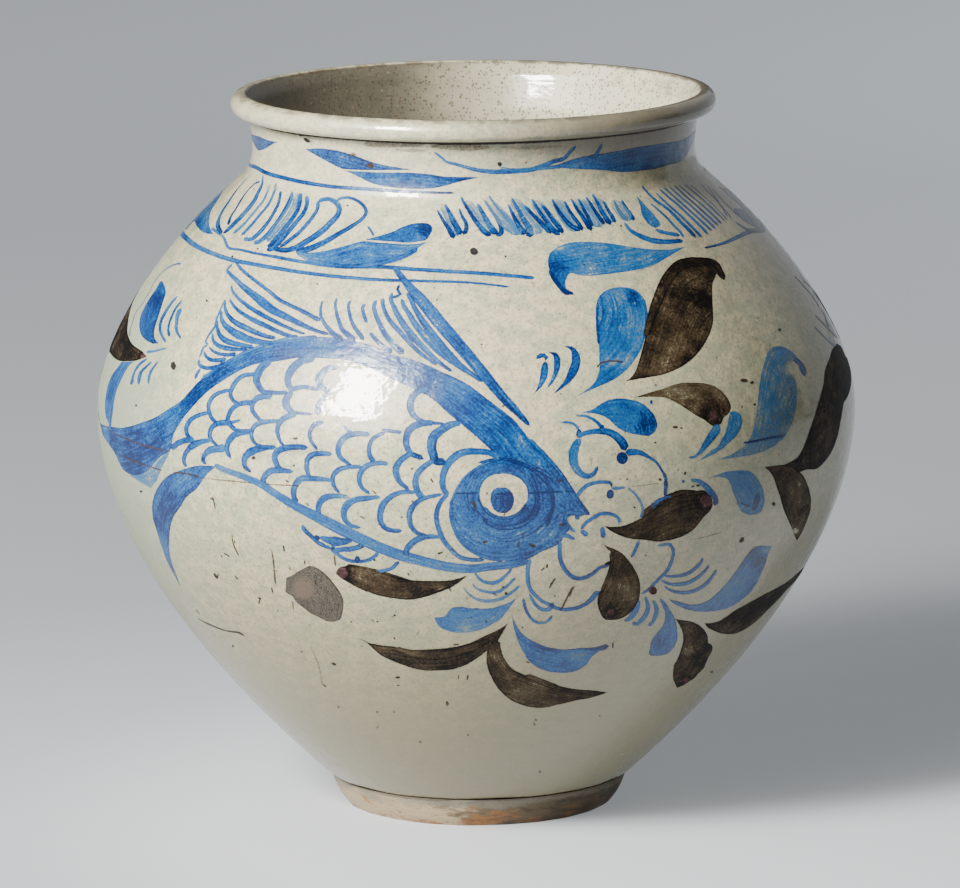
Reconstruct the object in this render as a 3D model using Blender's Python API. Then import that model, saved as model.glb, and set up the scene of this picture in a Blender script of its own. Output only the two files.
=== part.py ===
"""Large thrown storage jar with a trimmed foot, a luted belly seam, a short neck and a rolled lip.

Units are metres and +Z is up. The origin is on the axis, on the surface that the jar stands on.
The jar is modelled as the sections that a potter throws and joins with slip: the foot ring with
the floor disc set in it, the lower bowl, the upper bowl, the neck and the rolled lip. Every
section is an outline of (radius, height) points turned about the jar's axis into a closed body.
"""
import math

import bmesh
import bpy

# Heights, one above the other from the surface to the crest of the lip, 0.430 in all
RECESS_DEPTH = 0.0080       # hollow under the floor disc
FLOOR_THICKNESS = 0.0094    # floor disc at its edge
LOWER_RISE = 0.2220         # from the top of the foot to the widest point of the belly
SHOULDER_RISE = 0.1410      # from the widest point to the turn into the neck
NECK_RISE = 0.0368          # from that turn to the seat of the rolled lip
ROLL_HEIGHT = 0.0128        # rolled lip, lowest point to crest

# Radii, all on the outside
BELLY_RADIUS = 0.2272
NECK_JOINT_RADIUS = 0.1368  # where the shoulder turns into the neck
NECK_TOP_RADIUS = 0.1316    # just under the rolled lip
FOOT_TOP_RADIUS = 0.0896

# Foot and floor
FOOT_TAPER = 0.0090         # how far the foot draws in from its top to the surface
FOOT_RING_WIDTH = 0.0126    # flat ring that touches the surface
RECESS_TAPER = 0.0020       # how far the ring's inner side leans in
SOCKET_WIDTH = 0.0080       # ledge in the ring that carries the floor disc
FLOOR_LAP = 0.0040          # how far the wall reaches in over the floor disc
FLOOR_DOME = 0.0014         # rise of the floor from its edge to the middle
STEP_OVERHANG = 0.0013      # how far the glazed wall stands out over the foot
WALL_TOE = 0.0012           # thickness of the wall's inner edge on the floor

# Walls
FOOT_WALL = 0.0120          # just above the foot
BELLY_WALL = 0.0095
NECK_WALL = 0.0085
LIP_WALL = 0.0080           # neck wall just under the rolled lip

# Joints
JOINT_GAP = 0.0003          # clearance between sections that touch
SEAM_DROP = 0.0110          # belly seam below the widest point
SEAM_BEVEL = 0.0040         # how far the seam falls from the outside to the inside

# Rolled lip
ROLL_WIDTH = 0.0138
ROLL_OFFSET = 0.0047        # middle of the roll, outward from the neck's top radius
ROLL_DROOP = 0.0006         # how far the roll hangs below its seat on the neck

# How far the outline leans outward from the vertical on its way up
FOOT_BOTTOM_LEAN = math.radians(42.0)
FOOT_TOP_LEAN = math.radians(14.0)
LOWER_START_LEAN = math.radians(48.0)
SHOULDER_END_LEAN = math.radians(-51.4)
NECK_TOP_LEAN = math.radians(3.0)
THROAT_TOP_LEAN = math.radians(16.0)
ROLL_END_ANGLE = math.radians(130.0)    # round the roll from its outermost point
LEVEL = math.radians(90.0)

# Handle lengths of each curve, as shares of the height that it climbs
FOOT_HANDLE_SHARES = (0.33, 0.33)
TOE_HANDLE_SHARES = (0.80, 0.50)
LOWER_HANDLE_SHARES = (0.203, 0.424)
SHOULDER_HANDLE_SHARES = (0.320, 0.390)
NECK_HANDLE_SHARES = (0.390, 0.160)
THROAT_HANDLE_SHARES = (0.450, 0.300)

# Facets
TURN_STEPS = 64
FOOT_STEPS = 5
TOE_STEPS = 3
THROAT_STEPS = 3
FLOOR_STEPS = 3
LOWER_STEPS = 10
SHOULDER_STEPS = 9
NECK_STEPS = 6
ROLL_STEPS = 13
SEARCH_STEPS = 40
SMOOTH_ANGLE = math.radians(40.0)
MERGE_DISTANCE = 0.00001

# Worked out from the sizes above
FOOT_HEIGHT = RECESS_DEPTH + JOINT_GAP + FLOOR_THICKNESS
WALL_SEAT_HEIGHT = FOOT_HEIGHT + JOINT_GAP
BELLY_HEIGHT = WALL_SEAT_HEIGHT + LOWER_RISE
SEAM_HEIGHT = BELLY_HEIGHT - SEAM_DROP
NECK_JOINT_HEIGHT = BELLY_HEIGHT + SHOULDER_RISE
NECK_TOP_HEIGHT = NECK_JOINT_HEIGHT + NECK_RISE
RING_INNER_RADIUS = FOOT_TOP_RADIUS - FOOT_TAPER - FOOT_RING_WIDTH
LEDGE_INNER_RADIUS = RING_INNER_RADIUS - RECESS_TAPER
SOCKET_RADIUS = LEDGE_INNER_RADIUS + SOCKET_WIDTH


def clear_scene():
    for old in list(bpy.data.objects):
        bpy.data.objects.remove(old, do_unlink=True)


def fired_material(name, color, roughness):
    material = bpy.data.materials.new(name)
    material.use_nodes = True
    shader = material.node_tree.nodes["Principled BSDF"]
    shader.inputs["Base Color"].default_value = (*color, 1.0)
    shader.inputs["Roughness"].default_value = roughness
    shader.inputs["Metallic"].default_value = 0.0
    material.diffuse_color = (*color, 1.0)
    return material


def moved(point, lean, distance):
    """The point moved up along a line that leans outward from the vertical."""
    return (point[0] + distance * math.sin(lean), point[1] + distance * math.cos(lean))


def cubic(start, start_lean, end, end_lean, handle_shares):
    """A rising curve that leaves start and reaches end along two leaning lines."""
    climb = end[1] - start[1]
    return (start,
            moved(start, start_lean, climb * handle_shares[0]),
            moved(end, end_lean, -climb * handle_shares[1]),
            end)


def cubic_point(curve, share):
    rest = 1.0 - share
    weights = (rest ** 3, 3 * rest ** 2 * share, 3 * rest * share ** 2, share ** 3)
    return tuple(sum(weight * point[axis] for weight, point in zip(weights, curve))
                 for axis in (0, 1))


def share_at_height(curve, height):
    """How far along a rising curve it reaches a height."""
    low, high = 0.0, 1.0
    for _ in range(SEARCH_STEPS):
        middle = (low + high) / 2
        if cubic_point(curve, middle)[1] < height:
            low = middle
        else:
            high = middle
    return (low + high) / 2


def along(curve, steps, start=0.0, end=1.0):
    """Points from start to end of a curve, both ends included."""
    return [cubic_point(curve, start + (end - start) * step / steps) for step in range(steps + 1)]


def turned_section(name, outline, material, jar):
    """Turns an outline about the jar's axis. It closes on itself, or on the axis."""
    shape = bmesh.new()
    points = [shape.verts.new((radius, 0, height)) for radius, height in outline]
    edges = [shape.edges.new(pair) for pair in zip(points, points[1:])]
    if outline[0][0] > 0:
        edges.append(shape.edges.new((points[-1], points[0])))
    bmesh.ops.spin(shape, geom=points + edges, cent=(0, 0, 0), axis=(0, 0, 1), dvec=(0, 0, 0),
                   angle=math.tau, steps=TURN_STEPS, use_merge=True, use_duplicate=False)
    on_axis = [vert for vert in shape.verts if math.hypot(vert.co.x, vert.co.y) < MERGE_DISTANCE]
    bmesh.ops.remove_doubles(shape, verts=on_axis, dist=MERGE_DISTANCE)
    bmesh.ops.recalc_face_normals(shape, faces=shape.faces)

    mesh = bpy.data.meshes.new(name)
    shape.to_mesh(mesh)
    shape.free()
    mesh.shade_smooth()
    mesh.set_sharp_from_angle(angle=SMOOTH_ANGLE)
    mesh.materials.append(material)
    section = bpy.data.objects.new(name, mesh)
    section.parent = jar
    bpy.context.scene.collection.objects.link(section)


def lower_curves():
    """Outside and inside of the wall from the foot up to the widest point of the belly."""
    outer_foot = (FOOT_TOP_RADIUS + STEP_OVERHANG, WALL_SEAT_HEIGHT)
    inner_foot = moved(outer_foot, LOWER_START_LEAN - LEVEL, FOOT_WALL)
    outer = cubic(outer_foot, LOWER_START_LEAN, (BELLY_RADIUS, BELLY_HEIGHT), 0.0,
                  LOWER_HANDLE_SHARES)
    inner = cubic(inner_foot, LOWER_START_LEAN, (BELLY_RADIUS - BELLY_WALL, BELLY_HEIGHT), 0.0,
                  LOWER_HANDLE_SHARES)
    return outer, inner


def shoulder_curves():
    """Outside and inside of the wall from the widest point of the belly to the neck."""
    outer_top = (NECK_JOINT_RADIUS, NECK_JOINT_HEIGHT)
    inner_top = moved(outer_top, SHOULDER_END_LEAN - LEVEL, NECK_WALL)
    outer = cubic((BELLY_RADIUS, BELLY_HEIGHT), 0.0, outer_top, SHOULDER_END_LEAN,
                  SHOULDER_HANDLE_SHARES)
    inner = cubic((BELLY_RADIUS - BELLY_WALL, BELLY_HEIGHT), 0.0, inner_top, SHOULDER_END_LEAN,
                  SHOULDER_HANDLE_SHARES)
    return outer, inner


def make_foot_ring(clay, jar):
    """Bare ring. It draws in to the surface, and a socket inside it carries the floor disc."""
    side = cubic((FOOT_TOP_RADIUS - FOOT_TAPER, 0.0), FOOT_BOTTOM_LEAN,
                 (FOOT_TOP_RADIUS, FOOT_HEIGHT), FOOT_TOP_LEAN, FOOT_HANDLE_SHARES)
    socket = [(SOCKET_RADIUS, FOOT_HEIGHT), (SOCKET_RADIUS, RECESS_DEPTH),
              (LEDGE_INNER_RADIUS, RECESS_DEPTH), (RING_INNER_RADIUS, 0.0)]
    turned_section("foot_ring", along(side, FOOT_STEPS) + socket, clay, jar)


def make_floor_disc(glaze, jar):
    """Slab set in the foot ring. Its edge lies flush with the ring, and its middle rises."""
    radius = SOCKET_RADIUS - JOINT_GAP
    underside = RECESS_DEPTH + JOINT_GAP
    domed_radius = SOCKET_RADIUS - FLOOR_LAP - JOINT_GAP
    outline = [(0.0, underside), (radius, underside), (radius, FOOT_HEIGHT)]
    for step in range(FLOOR_STEPS + 1):
        inward = LEVEL * step / FLOOR_STEPS
        outline.append((domed_radius * (1.0 - math.sin(inward)),
                        FOOT_HEIGHT + FLOOR_DOME * (1.0 - math.cos(inward))))
    turned_section("floor_disc", outline, glaze, jar)


def make_lower_wall(glaze, jar):
    """Lower bowl, from its seat on the foot and floor up to the bevelled belly seam."""
    outer, inner = lower_curves()
    outer_end = share_at_height(outer, SEAM_HEIGHT)
    inner_end = share_at_height(inner, SEAM_HEIGHT - SEAM_BEVEL)
    toe_radius = SOCKET_RADIUS - FLOOR_LAP
    toe = cubic((toe_radius, WALL_SEAT_HEIGHT + WALL_TOE), LEVEL, inner[0], LOWER_START_LEAN,
                TOE_HANDLE_SHARES)
    outline = along(outer, LOWER_STEPS, 0.0, outer_end)
    outline += along(inner, LOWER_STEPS, inner_end, 0.0)
    outline += along(toe, TOE_STEPS, 1.0, 0.0)[1:]
    outline += [(toe_radius, WALL_SEAT_HEIGHT)]
    turned_section("lower_wall", outline, glaze, jar)


def make_upper_wall(glaze, jar):
    """Upper bowl, from the belly seam over the shoulder to the neck."""
    lower_outer, lower_inner = lower_curves()
    outer, inner = shoulder_curves()
    outer_start = share_at_height(lower_outer, SEAM_HEIGHT + JOINT_GAP)
    inner_start = share_at_height(lower_inner, SEAM_HEIGHT - SEAM_BEVEL + JOINT_GAP)
    outline = [cubic_point(lower_outer, outer_start)] + along(outer, SHOULDER_STEPS)
    outline += along(inner, SHOULDER_STEPS, 1.0, 0.0) + [cubic_point(lower_inner, inner_start)]
    turned_section("upper_wall", outline, glaze, jar)


def make_neck(glaze, jar):
    """Short concave collar, from one gap above the shoulder's end to the seat of the lip."""
    shoulder_outer, shoulder_inner = shoulder_curves()
    outer_start = moved(shoulder_outer[-1], SHOULDER_END_LEAN, JOINT_GAP)
    inner_start = moved(shoulder_inner[-1], SHOULDER_END_LEAN, JOINT_GAP)
    outer = cubic(outer_start, SHOULDER_END_LEAN, (NECK_TOP_RADIUS, NECK_TOP_HEIGHT),
                  NECK_TOP_LEAN, NECK_HANDLE_SHARES)
    inner = cubic(inner_start, SHOULDER_END_LEAN, (NECK_TOP_RADIUS - LIP_WALL, NECK_TOP_HEIGHT),
                  THROAT_TOP_LEAN, NECK_HANDLE_SHARES)
    turned_section("neck", along(outer, NECK_STEPS) + along(inner, NECK_STEPS, 1.0, 0.0), glaze,
                   jar)


def make_rim_roll(glaze, jar):
    """Lip folded outward into a thick roll. Inside, the throat flares out to meet it."""
    half_width = ROLL_WIDTH / 2
    half_height = ROLL_HEIGHT / 2
    seat_height = NECK_TOP_HEIGHT + JOINT_GAP
    middle_radius = NECK_TOP_RADIUS + ROLL_OFFSET
    middle_height = NECK_TOP_HEIGHT - ROLL_DROOP + half_height
    start_angle = math.asin((middle_height - seat_height) / half_height) - math.pi
    roll = []
    for step in range(ROLL_STEPS + 1):
        angle = start_angle + (ROLL_END_ANGLE - start_angle) * step / ROLL_STEPS
        roll.append((middle_radius + half_width * math.cos(angle),
                     middle_height + half_height * math.sin(angle)))
    roll_end_lean = math.atan2(half_width * math.sin(ROLL_END_ANGLE),
                               -half_height * math.cos(ROLL_END_ANGLE))
    throat = cubic((NECK_TOP_RADIUS - LIP_WALL, seat_height), THROAT_TOP_LEAN, roll[-1],
                   roll_end_lean, THROAT_HANDLE_SHARES)
    turned_section("rim_roll", roll + along(throat, THROAT_STEPS, 1.0, 0.0)[1:], glaze, jar)


def main():
    clear_scene()
    jar = bpy.data.objects.new("jar", None)
    bpy.context.scene.collection.objects.link(jar)
    glaze = fired_material("celadon_glaze", (0.62, 0.61, 0.53), 0.22)
    floor_glaze = fired_material("floor_glaze", (0.52, 0.52, 0.45), 0.30)
    clay = fired_material("bare_clay", (0.46, 0.38, 0.28), 0.75)
    make_foot_ring(clay, jar)
    make_floor_disc(floor_glaze, jar)
    make_lower_wall(glaze, jar)
    make_upper_wall(glaze, jar)
    make_neck(glaze, jar)
    make_rim_roll(glaze, jar)


main()
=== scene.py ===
import math

import bpy
import numpy as np
from mathutils import Matrix, Vector


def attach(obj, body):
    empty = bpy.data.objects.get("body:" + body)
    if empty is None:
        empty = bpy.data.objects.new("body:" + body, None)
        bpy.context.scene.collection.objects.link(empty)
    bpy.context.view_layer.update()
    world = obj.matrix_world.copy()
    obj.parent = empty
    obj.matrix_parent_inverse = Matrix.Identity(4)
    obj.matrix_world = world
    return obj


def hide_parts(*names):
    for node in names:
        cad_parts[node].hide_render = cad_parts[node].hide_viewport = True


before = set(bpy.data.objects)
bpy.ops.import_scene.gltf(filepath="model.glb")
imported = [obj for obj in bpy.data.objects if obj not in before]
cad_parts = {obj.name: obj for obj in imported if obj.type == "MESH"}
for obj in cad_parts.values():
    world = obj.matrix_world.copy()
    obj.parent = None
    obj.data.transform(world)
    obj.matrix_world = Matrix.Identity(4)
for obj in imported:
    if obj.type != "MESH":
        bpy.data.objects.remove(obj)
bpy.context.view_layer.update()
print("frame loaded:", ", ".join(sorted(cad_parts)))


# the same outline as the part's source, in metres as (radius, height)

outline = {
    "footTop": (0.0896, 0.0177), "footTaper": 0.0090, "ringInner": 0.0680, "ledgeInner": 0.0660,
    "socket": 0.0740, "recess": 0.0080, "floorDome": 0.0014, "floorLap": 0.0040,
    "wallSeat": (0.0909, 0.0180), "wallToe": 0.0012, "seam": 0.2290, "seamBevel": 0.0040,
    "belly": (0.2272, 0.2400), "neckJoint": (0.1368, 0.3810), "neckTop": (0.1316, 0.4178),
    "footWall": 0.0120, "bellyWall": 0.0095, "neckWall": 0.0085,
    "rollMiddle": (0.1363, 0.4236), "rollHalf": (0.0069, 0.0064), "hairGap": 0.00004,
    "leans": {"footBottom": 42.0, "footTop": 14.0, "lowerStart": 48.0, "shoulderEnd": -51.4, "neckTop": 3.0},
    "lowerPull": (0.203, 0.424), "shoulderPull": (0.320, 0.390), "neckPull": (0.390, 0.160),
}
leans = {name: math.radians(value) for name, value in outline["leans"].items()}
quarterTurn = math.pi / 2


def moved(point, lean, distance):
    return (point[0] + distance * math.sin(lean), point[1] + distance * math.cos(lean))


def curve(start, startLean, end, endLean, shares):
    climb = end[1] - start[1]
    return [start, moved(start, startLean, climb * shares[0]), moved(end, endLean, -climb * shares[1]), end]


def curvePoint(controls, share):
    rest = 1 - share
    weights = (rest ** 3, 3 * rest ** 2 * share, 3 * rest * share ** 2, share ** 3)
    return tuple(sum(w * p[axis] for w, p in zip(weights, controls)) for axis in (0, 1))


def shareAt(controls, height):
    low, high = 0.0, 1.0
    for _ in range(40):
        middle = (low + high) / 2
        low, high = (middle, high) if curvePoint(controls, middle)[1] < height else (low, middle)
    return low


def pointsAlong(controls, steps, first=0.0, last=1.0):
    return [curvePoint(controls, first + (last - first) * i / steps) for i in range(steps + 1)]


innerFoot = moved(outline["wallSeat"], leans["lowerStart"] - quarterTurn, outline["footWall"])
innerBelly = (outline["belly"][0] - outline["bellyWall"], outline["belly"][1])
innerJoint = moved(outline["neckJoint"], leans["shoulderEnd"] - quarterTurn, outline["neckWall"])
lowerOuter = curve(outline["wallSeat"], leans["lowerStart"], outline["belly"], 0.0, outline["lowerPull"])
lowerInner = curve(innerFoot, leans["lowerStart"], innerBelly, 0.0, outline["lowerPull"])
shoulderOuter = curve(outline["belly"], 0.0, outline["neckJoint"], leans["shoulderEnd"], outline["shoulderPull"])
shoulderInner = curve(innerBelly, 0.0, innerJoint, leans["shoulderEnd"], outline["shoulderPull"])
neckOuter = curve(outline["neckJoint"], leans["shoulderEnd"], outline["neckTop"], leans["neckTop"], outline["neckPull"])

# the outside of the wall as one line from the foot to the lip: radius, height and distance along it
samples = {"lower": 260, "shoulder": 220, "neck": 90}
wallLine = np.array(pointsAlong(lowerOuter, samples["lower"]) + pointsAlong(shoulderOuter, samples["shoulder"])[1:]
                    + pointsAlong(neckOuter, samples["neck"])[1:])
wallReach = np.concatenate([[0], np.cumsum(np.hypot(*np.diff(wallLine, axis=0).T))])
wallTangent = np.gradient(wallLine, wallReach, axis=0)


def wallAt(reach, line=wallLine):
    # the two values of a line at distances along the wall
    return np.interp(reach, wallReach, line[:, 0]), np.interp(reach, wallReach, line[:, 1])


# shape left by the hands, inward of the turned outline except round the neck and lip
# there mouth widens both, by metres at heights, and the belly keeps all of it inside the solids' box

handShape = {
    "mouth": ((0.374, 0.0), (0.388, 0.0020), (0.410, 0.0030), (0.4178, 0.0026), (0.422, 0.0019), (0.430, 0.0019)),
    "clear": 0.00008, "oval": 0.00026, "threeSided": 0.00012, "ripple": 0.00004, "ripplePitch": 0.0085,
}


def handInset(angle, height):
    oval = handShape["oval"] * (1 + np.cos(2 * angle + 0.9 + 4 * height))
    sides = handShape["threeSided"] * (1 + np.cos(3 * angle - 0.6 - 11 * height))
    ripple = handShape["ripple"] * (1 + np.sin(height * math.tau / handShape["ripplePitch"] + 0.8 * np.sin(angle)))
    return handShape["clear"] + oval + sides + ripple - np.interp(height, *zip(*handShape["mouth"]))


def aroundAxis(angle, radius, height):
    return np.stack([radius * np.sin(angle), -radius * np.cos(angle), height], axis=-1)


def onWall(angle, reach, lift):
    # a point on the outside of the wall, lifted by so much along the wall's normal
    radius, height = wallAt(reach)
    along = np.stack(wallAt(reach, wallTangent))
    along = along / np.hypot(*along)
    return aroundAxis(angle, radius - handInset(angle, height) + lift * along[1], height - lift * along[0])


def deselectAll():
    if bpy.context.object and bpy.context.object.mode != "OBJECT":
        bpy.ops.object.mode_set(mode="OBJECT")
    bpy.ops.object.select_all(action="DESELECT")


def finishPiece(piece, material, slot, replaced=()):
    piece.data.materials.clear()
    piece.data.materials.append(material)
    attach(piece, "root")
    if replaced:
        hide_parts(*replaced)


# shader maths: a wire holds one socket, and an expression on wires adds the Math nodes

class Wire:
    def __init__(self, tree, socket=None):
        self.tree = tree
        self.socket = socket

    def node(self, kind, settings=None, sockets=None, out=0):
        made = self.tree.nodes.new("ShaderNode" + kind)
        for name, value in (settings or {}).items():
            if name == "stops":
                ramp = made.color_ramp
                while len(ramp.elements) < len(value):
                    ramp.elements.new(0.5)
                for element, (place, color) in zip(ramp.elements, value):
                    element.position = place
                    element.color = tint(color)
            else:
                setattr(made, name, value)
        for name, value in (sockets or {}).items():
            if isinstance(value, Wire):
                self.tree.links.new(value.socket, made.inputs[name])
            else:
                made.inputs[name].default_value = value
        return Wire(self.tree, made.outputs[out])

    def output(self, name):
        # another output of the same node
        return Wire(self.tree, self.socket.node.outputs[name])

    def math(self, operation, *values):
        return self.node("Math", {"operation": operation}, dict(enumerate(values)))

    def __add__(self, other):
        return self.math("ADD", self, other)

    def __sub__(self, other):
        return self.math("SUBTRACT", self, other)

    def __rsub__(self, other):
        return self.math("SUBTRACT", other, self)

    def __mul__(self, other):
        return self.math("MULTIPLY", self, other)

    __radd__ = __add__
    __rmul__ = __mul__

    def ramp(self, low, high, start=0.0, end=1.0):
        # a smooth step from start to end as the value goes from low to high
        return self.node("MapRange", {"interpolation_type": "SMOOTHSTEP"},
                         {"Value": self, "From Min": low, "From Max": high, "To Min": start, "To Max": end})

    def blend(self, first, second):
        return self.node("Mix", {"data_type": "RGBA"}, {0: self, 6: first, 7: second}, out=2)

    def noise(self, scale, detail=2.0, roughness=0.5, distortion=0.0):
        return self.node("TexNoise", {}, {"Vector": self, "Scale": scale, "Detail": detail, "Roughness": roughness,
                                          "Distortion": distortion})

    def stretched(self, scale, place=(0.0, 0.0, 0.0)):
        return self.node("Mapping", {}, {"Vector": self, "Scale": scale, "Location": place})

    def cells(self, scale, feature):
        return self.node("TexVoronoi", {"feature": feature}, {"Vector": self, "Scale": scale, "Randomness": 1.0})


def tint(color):
    return (*color, 1.0)


def newMaterial(name, constants):
    material = bpy.data.materials.new(name)
    material.use_nodes = True
    tree = material.node_tree
    tree.nodes.clear()
    surface = tree.nodes.new("ShaderNodeBsdfPrincipled")
    output = tree.nodes.new("ShaderNodeOutputMaterial")
    tree.links.new(surface.outputs[0], output.inputs[0])
    for socket, value in constants.items():
        surface.inputs[socket].default_value = value

    def join(socket, value):
        tree.links.new(value.socket, surface.inputs[socket])

    return material, Wire(tree), join


def layered(color, layers):
    # each layer is a mask and the colour that it lays over what is below
    for mask, top in layers:
        color = mask.blend(color, top if isinstance(top, Wire) else tint(top))
    return color


def specks(place, scale, share, radius):
    # round spots in a share of the cells of a grid, radius as a share of the cell
    spots = place.cells(scale, "F1")
    pick = place.node("SeparateColor", {}, {0: spots.output("Color")})
    edge = spots - pick.output(1) * radius * 0.7
    return pick.ramp(0.98 - share, 1.02 - share) * edge.ramp(radius * 0.65, radius * 0.3)


# the skin of the glaze, shared by the brushwork under it

glassy = {"Specular IOR Level": 0.62, "IOR": 1.5, "Coat Weight": 0.90, "Coat Roughness": 0.40, "Coat IOR": 1.6}
skin = {"strength": 0.55, "distance": 0.00042, "peel": 0.10, "waves": 2.2, "swell": 1.8, "rings": 0.55, "pits": 0.6}


def glazeHeight(place):
    # orange peel, slow waves and throwing rings of the fired surface
    rings = place.stretched((2.0, 2.0, 210.0)).noise(1.0, 3.0, 0.6)
    return (place.noise(420) * skin["peel"] + place.noise(105) * skin["waves"] + place.noise(30) * skin["swell"]
            + rings * skin["rings"])


def bumped(height, strength, distance):
    return height.node("Bump", {}, {"Strength": strength, "Distance": distance, "Height": height})


# glaze of the walls: warm grey-white, clouded, peppered with iron, faintly crazed, with painted light and shade laid
# into its colour

glazeLook = {
    "body": (0.450, 0.426, 0.268), "pink": (0.490, 0.428, 0.266), "green": (0.365, 0.392, 0.248),
    "blueGrey": (0.370, 0.395, 0.325), "pale": (0.600, 0.510, 0.315), "mossy": (0.290, 0.330, 0.218),
    "fine": (0.190, 0.168, 0.110), "pepper": (0.155, 0.125, 0.085), "speck": (0.040, 0.022, 0.012),
    "craze": (0.250, 0.225, 0.165), "bottom": (0.185, 0.163, 0.080), "dust": (0.16, 0.13, 0.09),
    "mouthShading": (0.058, 0.052, 0.040), "lit": (0.640, 0.585, 0.415), "grime": (0.115, 0.098, 0.070),
    "wornColor": (0.060, 0.040, 0.022), "shaded": (0.165, 0.157, 0.106), "coolEdgeShade": (0.215, 0.250, 0.180),
    "worn": 0.0, "dusty": 0.0, "shade": 1.0, "roughness": 0.048, "fineRoughness": 0.04, "pitRoughness": 0.35,
    # noises: scale, detail, roughness, distortion; stretches: of the place before some of them, with a shift
    "noises": {
        "hue": (6.0, 3.0, 0.55), "fine": (480, 5.0, 0.85), "smearField": (52, 3.0), "crazeField": (9.0,),
        "dust": (30.0, 4.0, 0.65), "grime": (38.0, 6.0, 0.72), "worn": (85.0, 5.0, 0.7), "washes": (1.0, 4.0, 0.6, 0.6),
        "cloud": (15.0, 4.0, 0.6), "mottle": (105, 4.0, 0.65), "smears": (1.0, 4.0, 0.75), "scuffs": (1.0, 4.0, 0.7),
    },
    "stretches": {
        "washes": ((26.0, 26.0, 9.0),), "cloud": ((1.0, 1.0, 1.6), (3.1, 0.7, 0.2)), "craze": ((1.0, 1.0, 0.8),),
        "mottle": ((1.0, 1.0, 1.3), (0.4, 1.7, 0.9)), "smears": ((380.0, 380.0, 210.0),), "scuffs": ((90.0, 90.0, 22.0),),
    },
    # specks: cells in a metre, share of the cells that hold one, and its size in its cell
    "specks": {"pepper": (520.0, 0.15, 0.36), "dense": (560.0, 0.50, 0.42), "freckle": (165.0, 0.080, 0.13),
               "big": (62.0, 0.05, 0.060)},
    "crazeCells": 62.0,
    # ramps: low and high end, in units of the noise or in metres up or to the right, then the share laid at each end
    "ramps": {
        "pink": (0.38, 0.62), "body": (0.30, 0.72, 0, 0.45), "blueGrey": (0.56, 0.80, 0, 0.45),
        "mottled": (0.25, 0.75, 0.38, 0.68), "mossy": (0.42, 0.58), "fine": (0.47, 0.64, 0, 0.82),
        "smear": (0.59, 0.68, 0, 0.80), "smearField": (0.44, 0.60), "craze": (0.012, 0.0, 0, 0.45), "crazeField": (0.50, 0.68),
        "mouthLight": (-0.02, 0.13), "grimePatch": (0.46, 0.66, 0, 0.62), "grimeAndShadeSide": (0.02, 0.13), "dust": (0.40, 0.70),
        "wornPatch": (0.44, 0.58), "wornHeight": (0.4272, 0.4290), "bottom": (0.27, 0.05, 0, 0.95),
        "shadedSide": (-0.06, 0.20, 0, 0.50), "shadedHeight": (0.34, 0.24, 0.7, 1.25), "coolEdgeShadeSide": (-0.150, -0.212, 0, 0.85),
        "rightSide": (0.07, 0.17, 0, 0.42), "rightHeight": (0.28, 0.34), "neckHeight": (0.350, 0.395, 0, 0.25),
        "neckSide": (0.06, -0.04), "underLip": (0.388, 0.413, 0, 0.90), "underLipSide": (-0.06, 0.11),
        "coatHeight": (0.14, 0.32, 0.12, 0.54), "coatSide": (-0.20, -0.13, 0.15, 1.0), "scuff": (0.55, 0.75, 0, 0.06),
        "roughHeight": (0.20, 0.04, 0, 0.16), "roughSide": (-0.150, -0.205, 0, 0.45), "roughMouth": (0.0, -0.09, 0, 0.35),
    },
    # how strongly the inside of the jar differs
    "inside": {"mouthShading": 0.92, "pepper": 0.30, "pepperAll": 0.62, "dense": 0.62, "coat": 0.8, "relief": 0.72, "cloud": 0.08},
}


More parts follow.
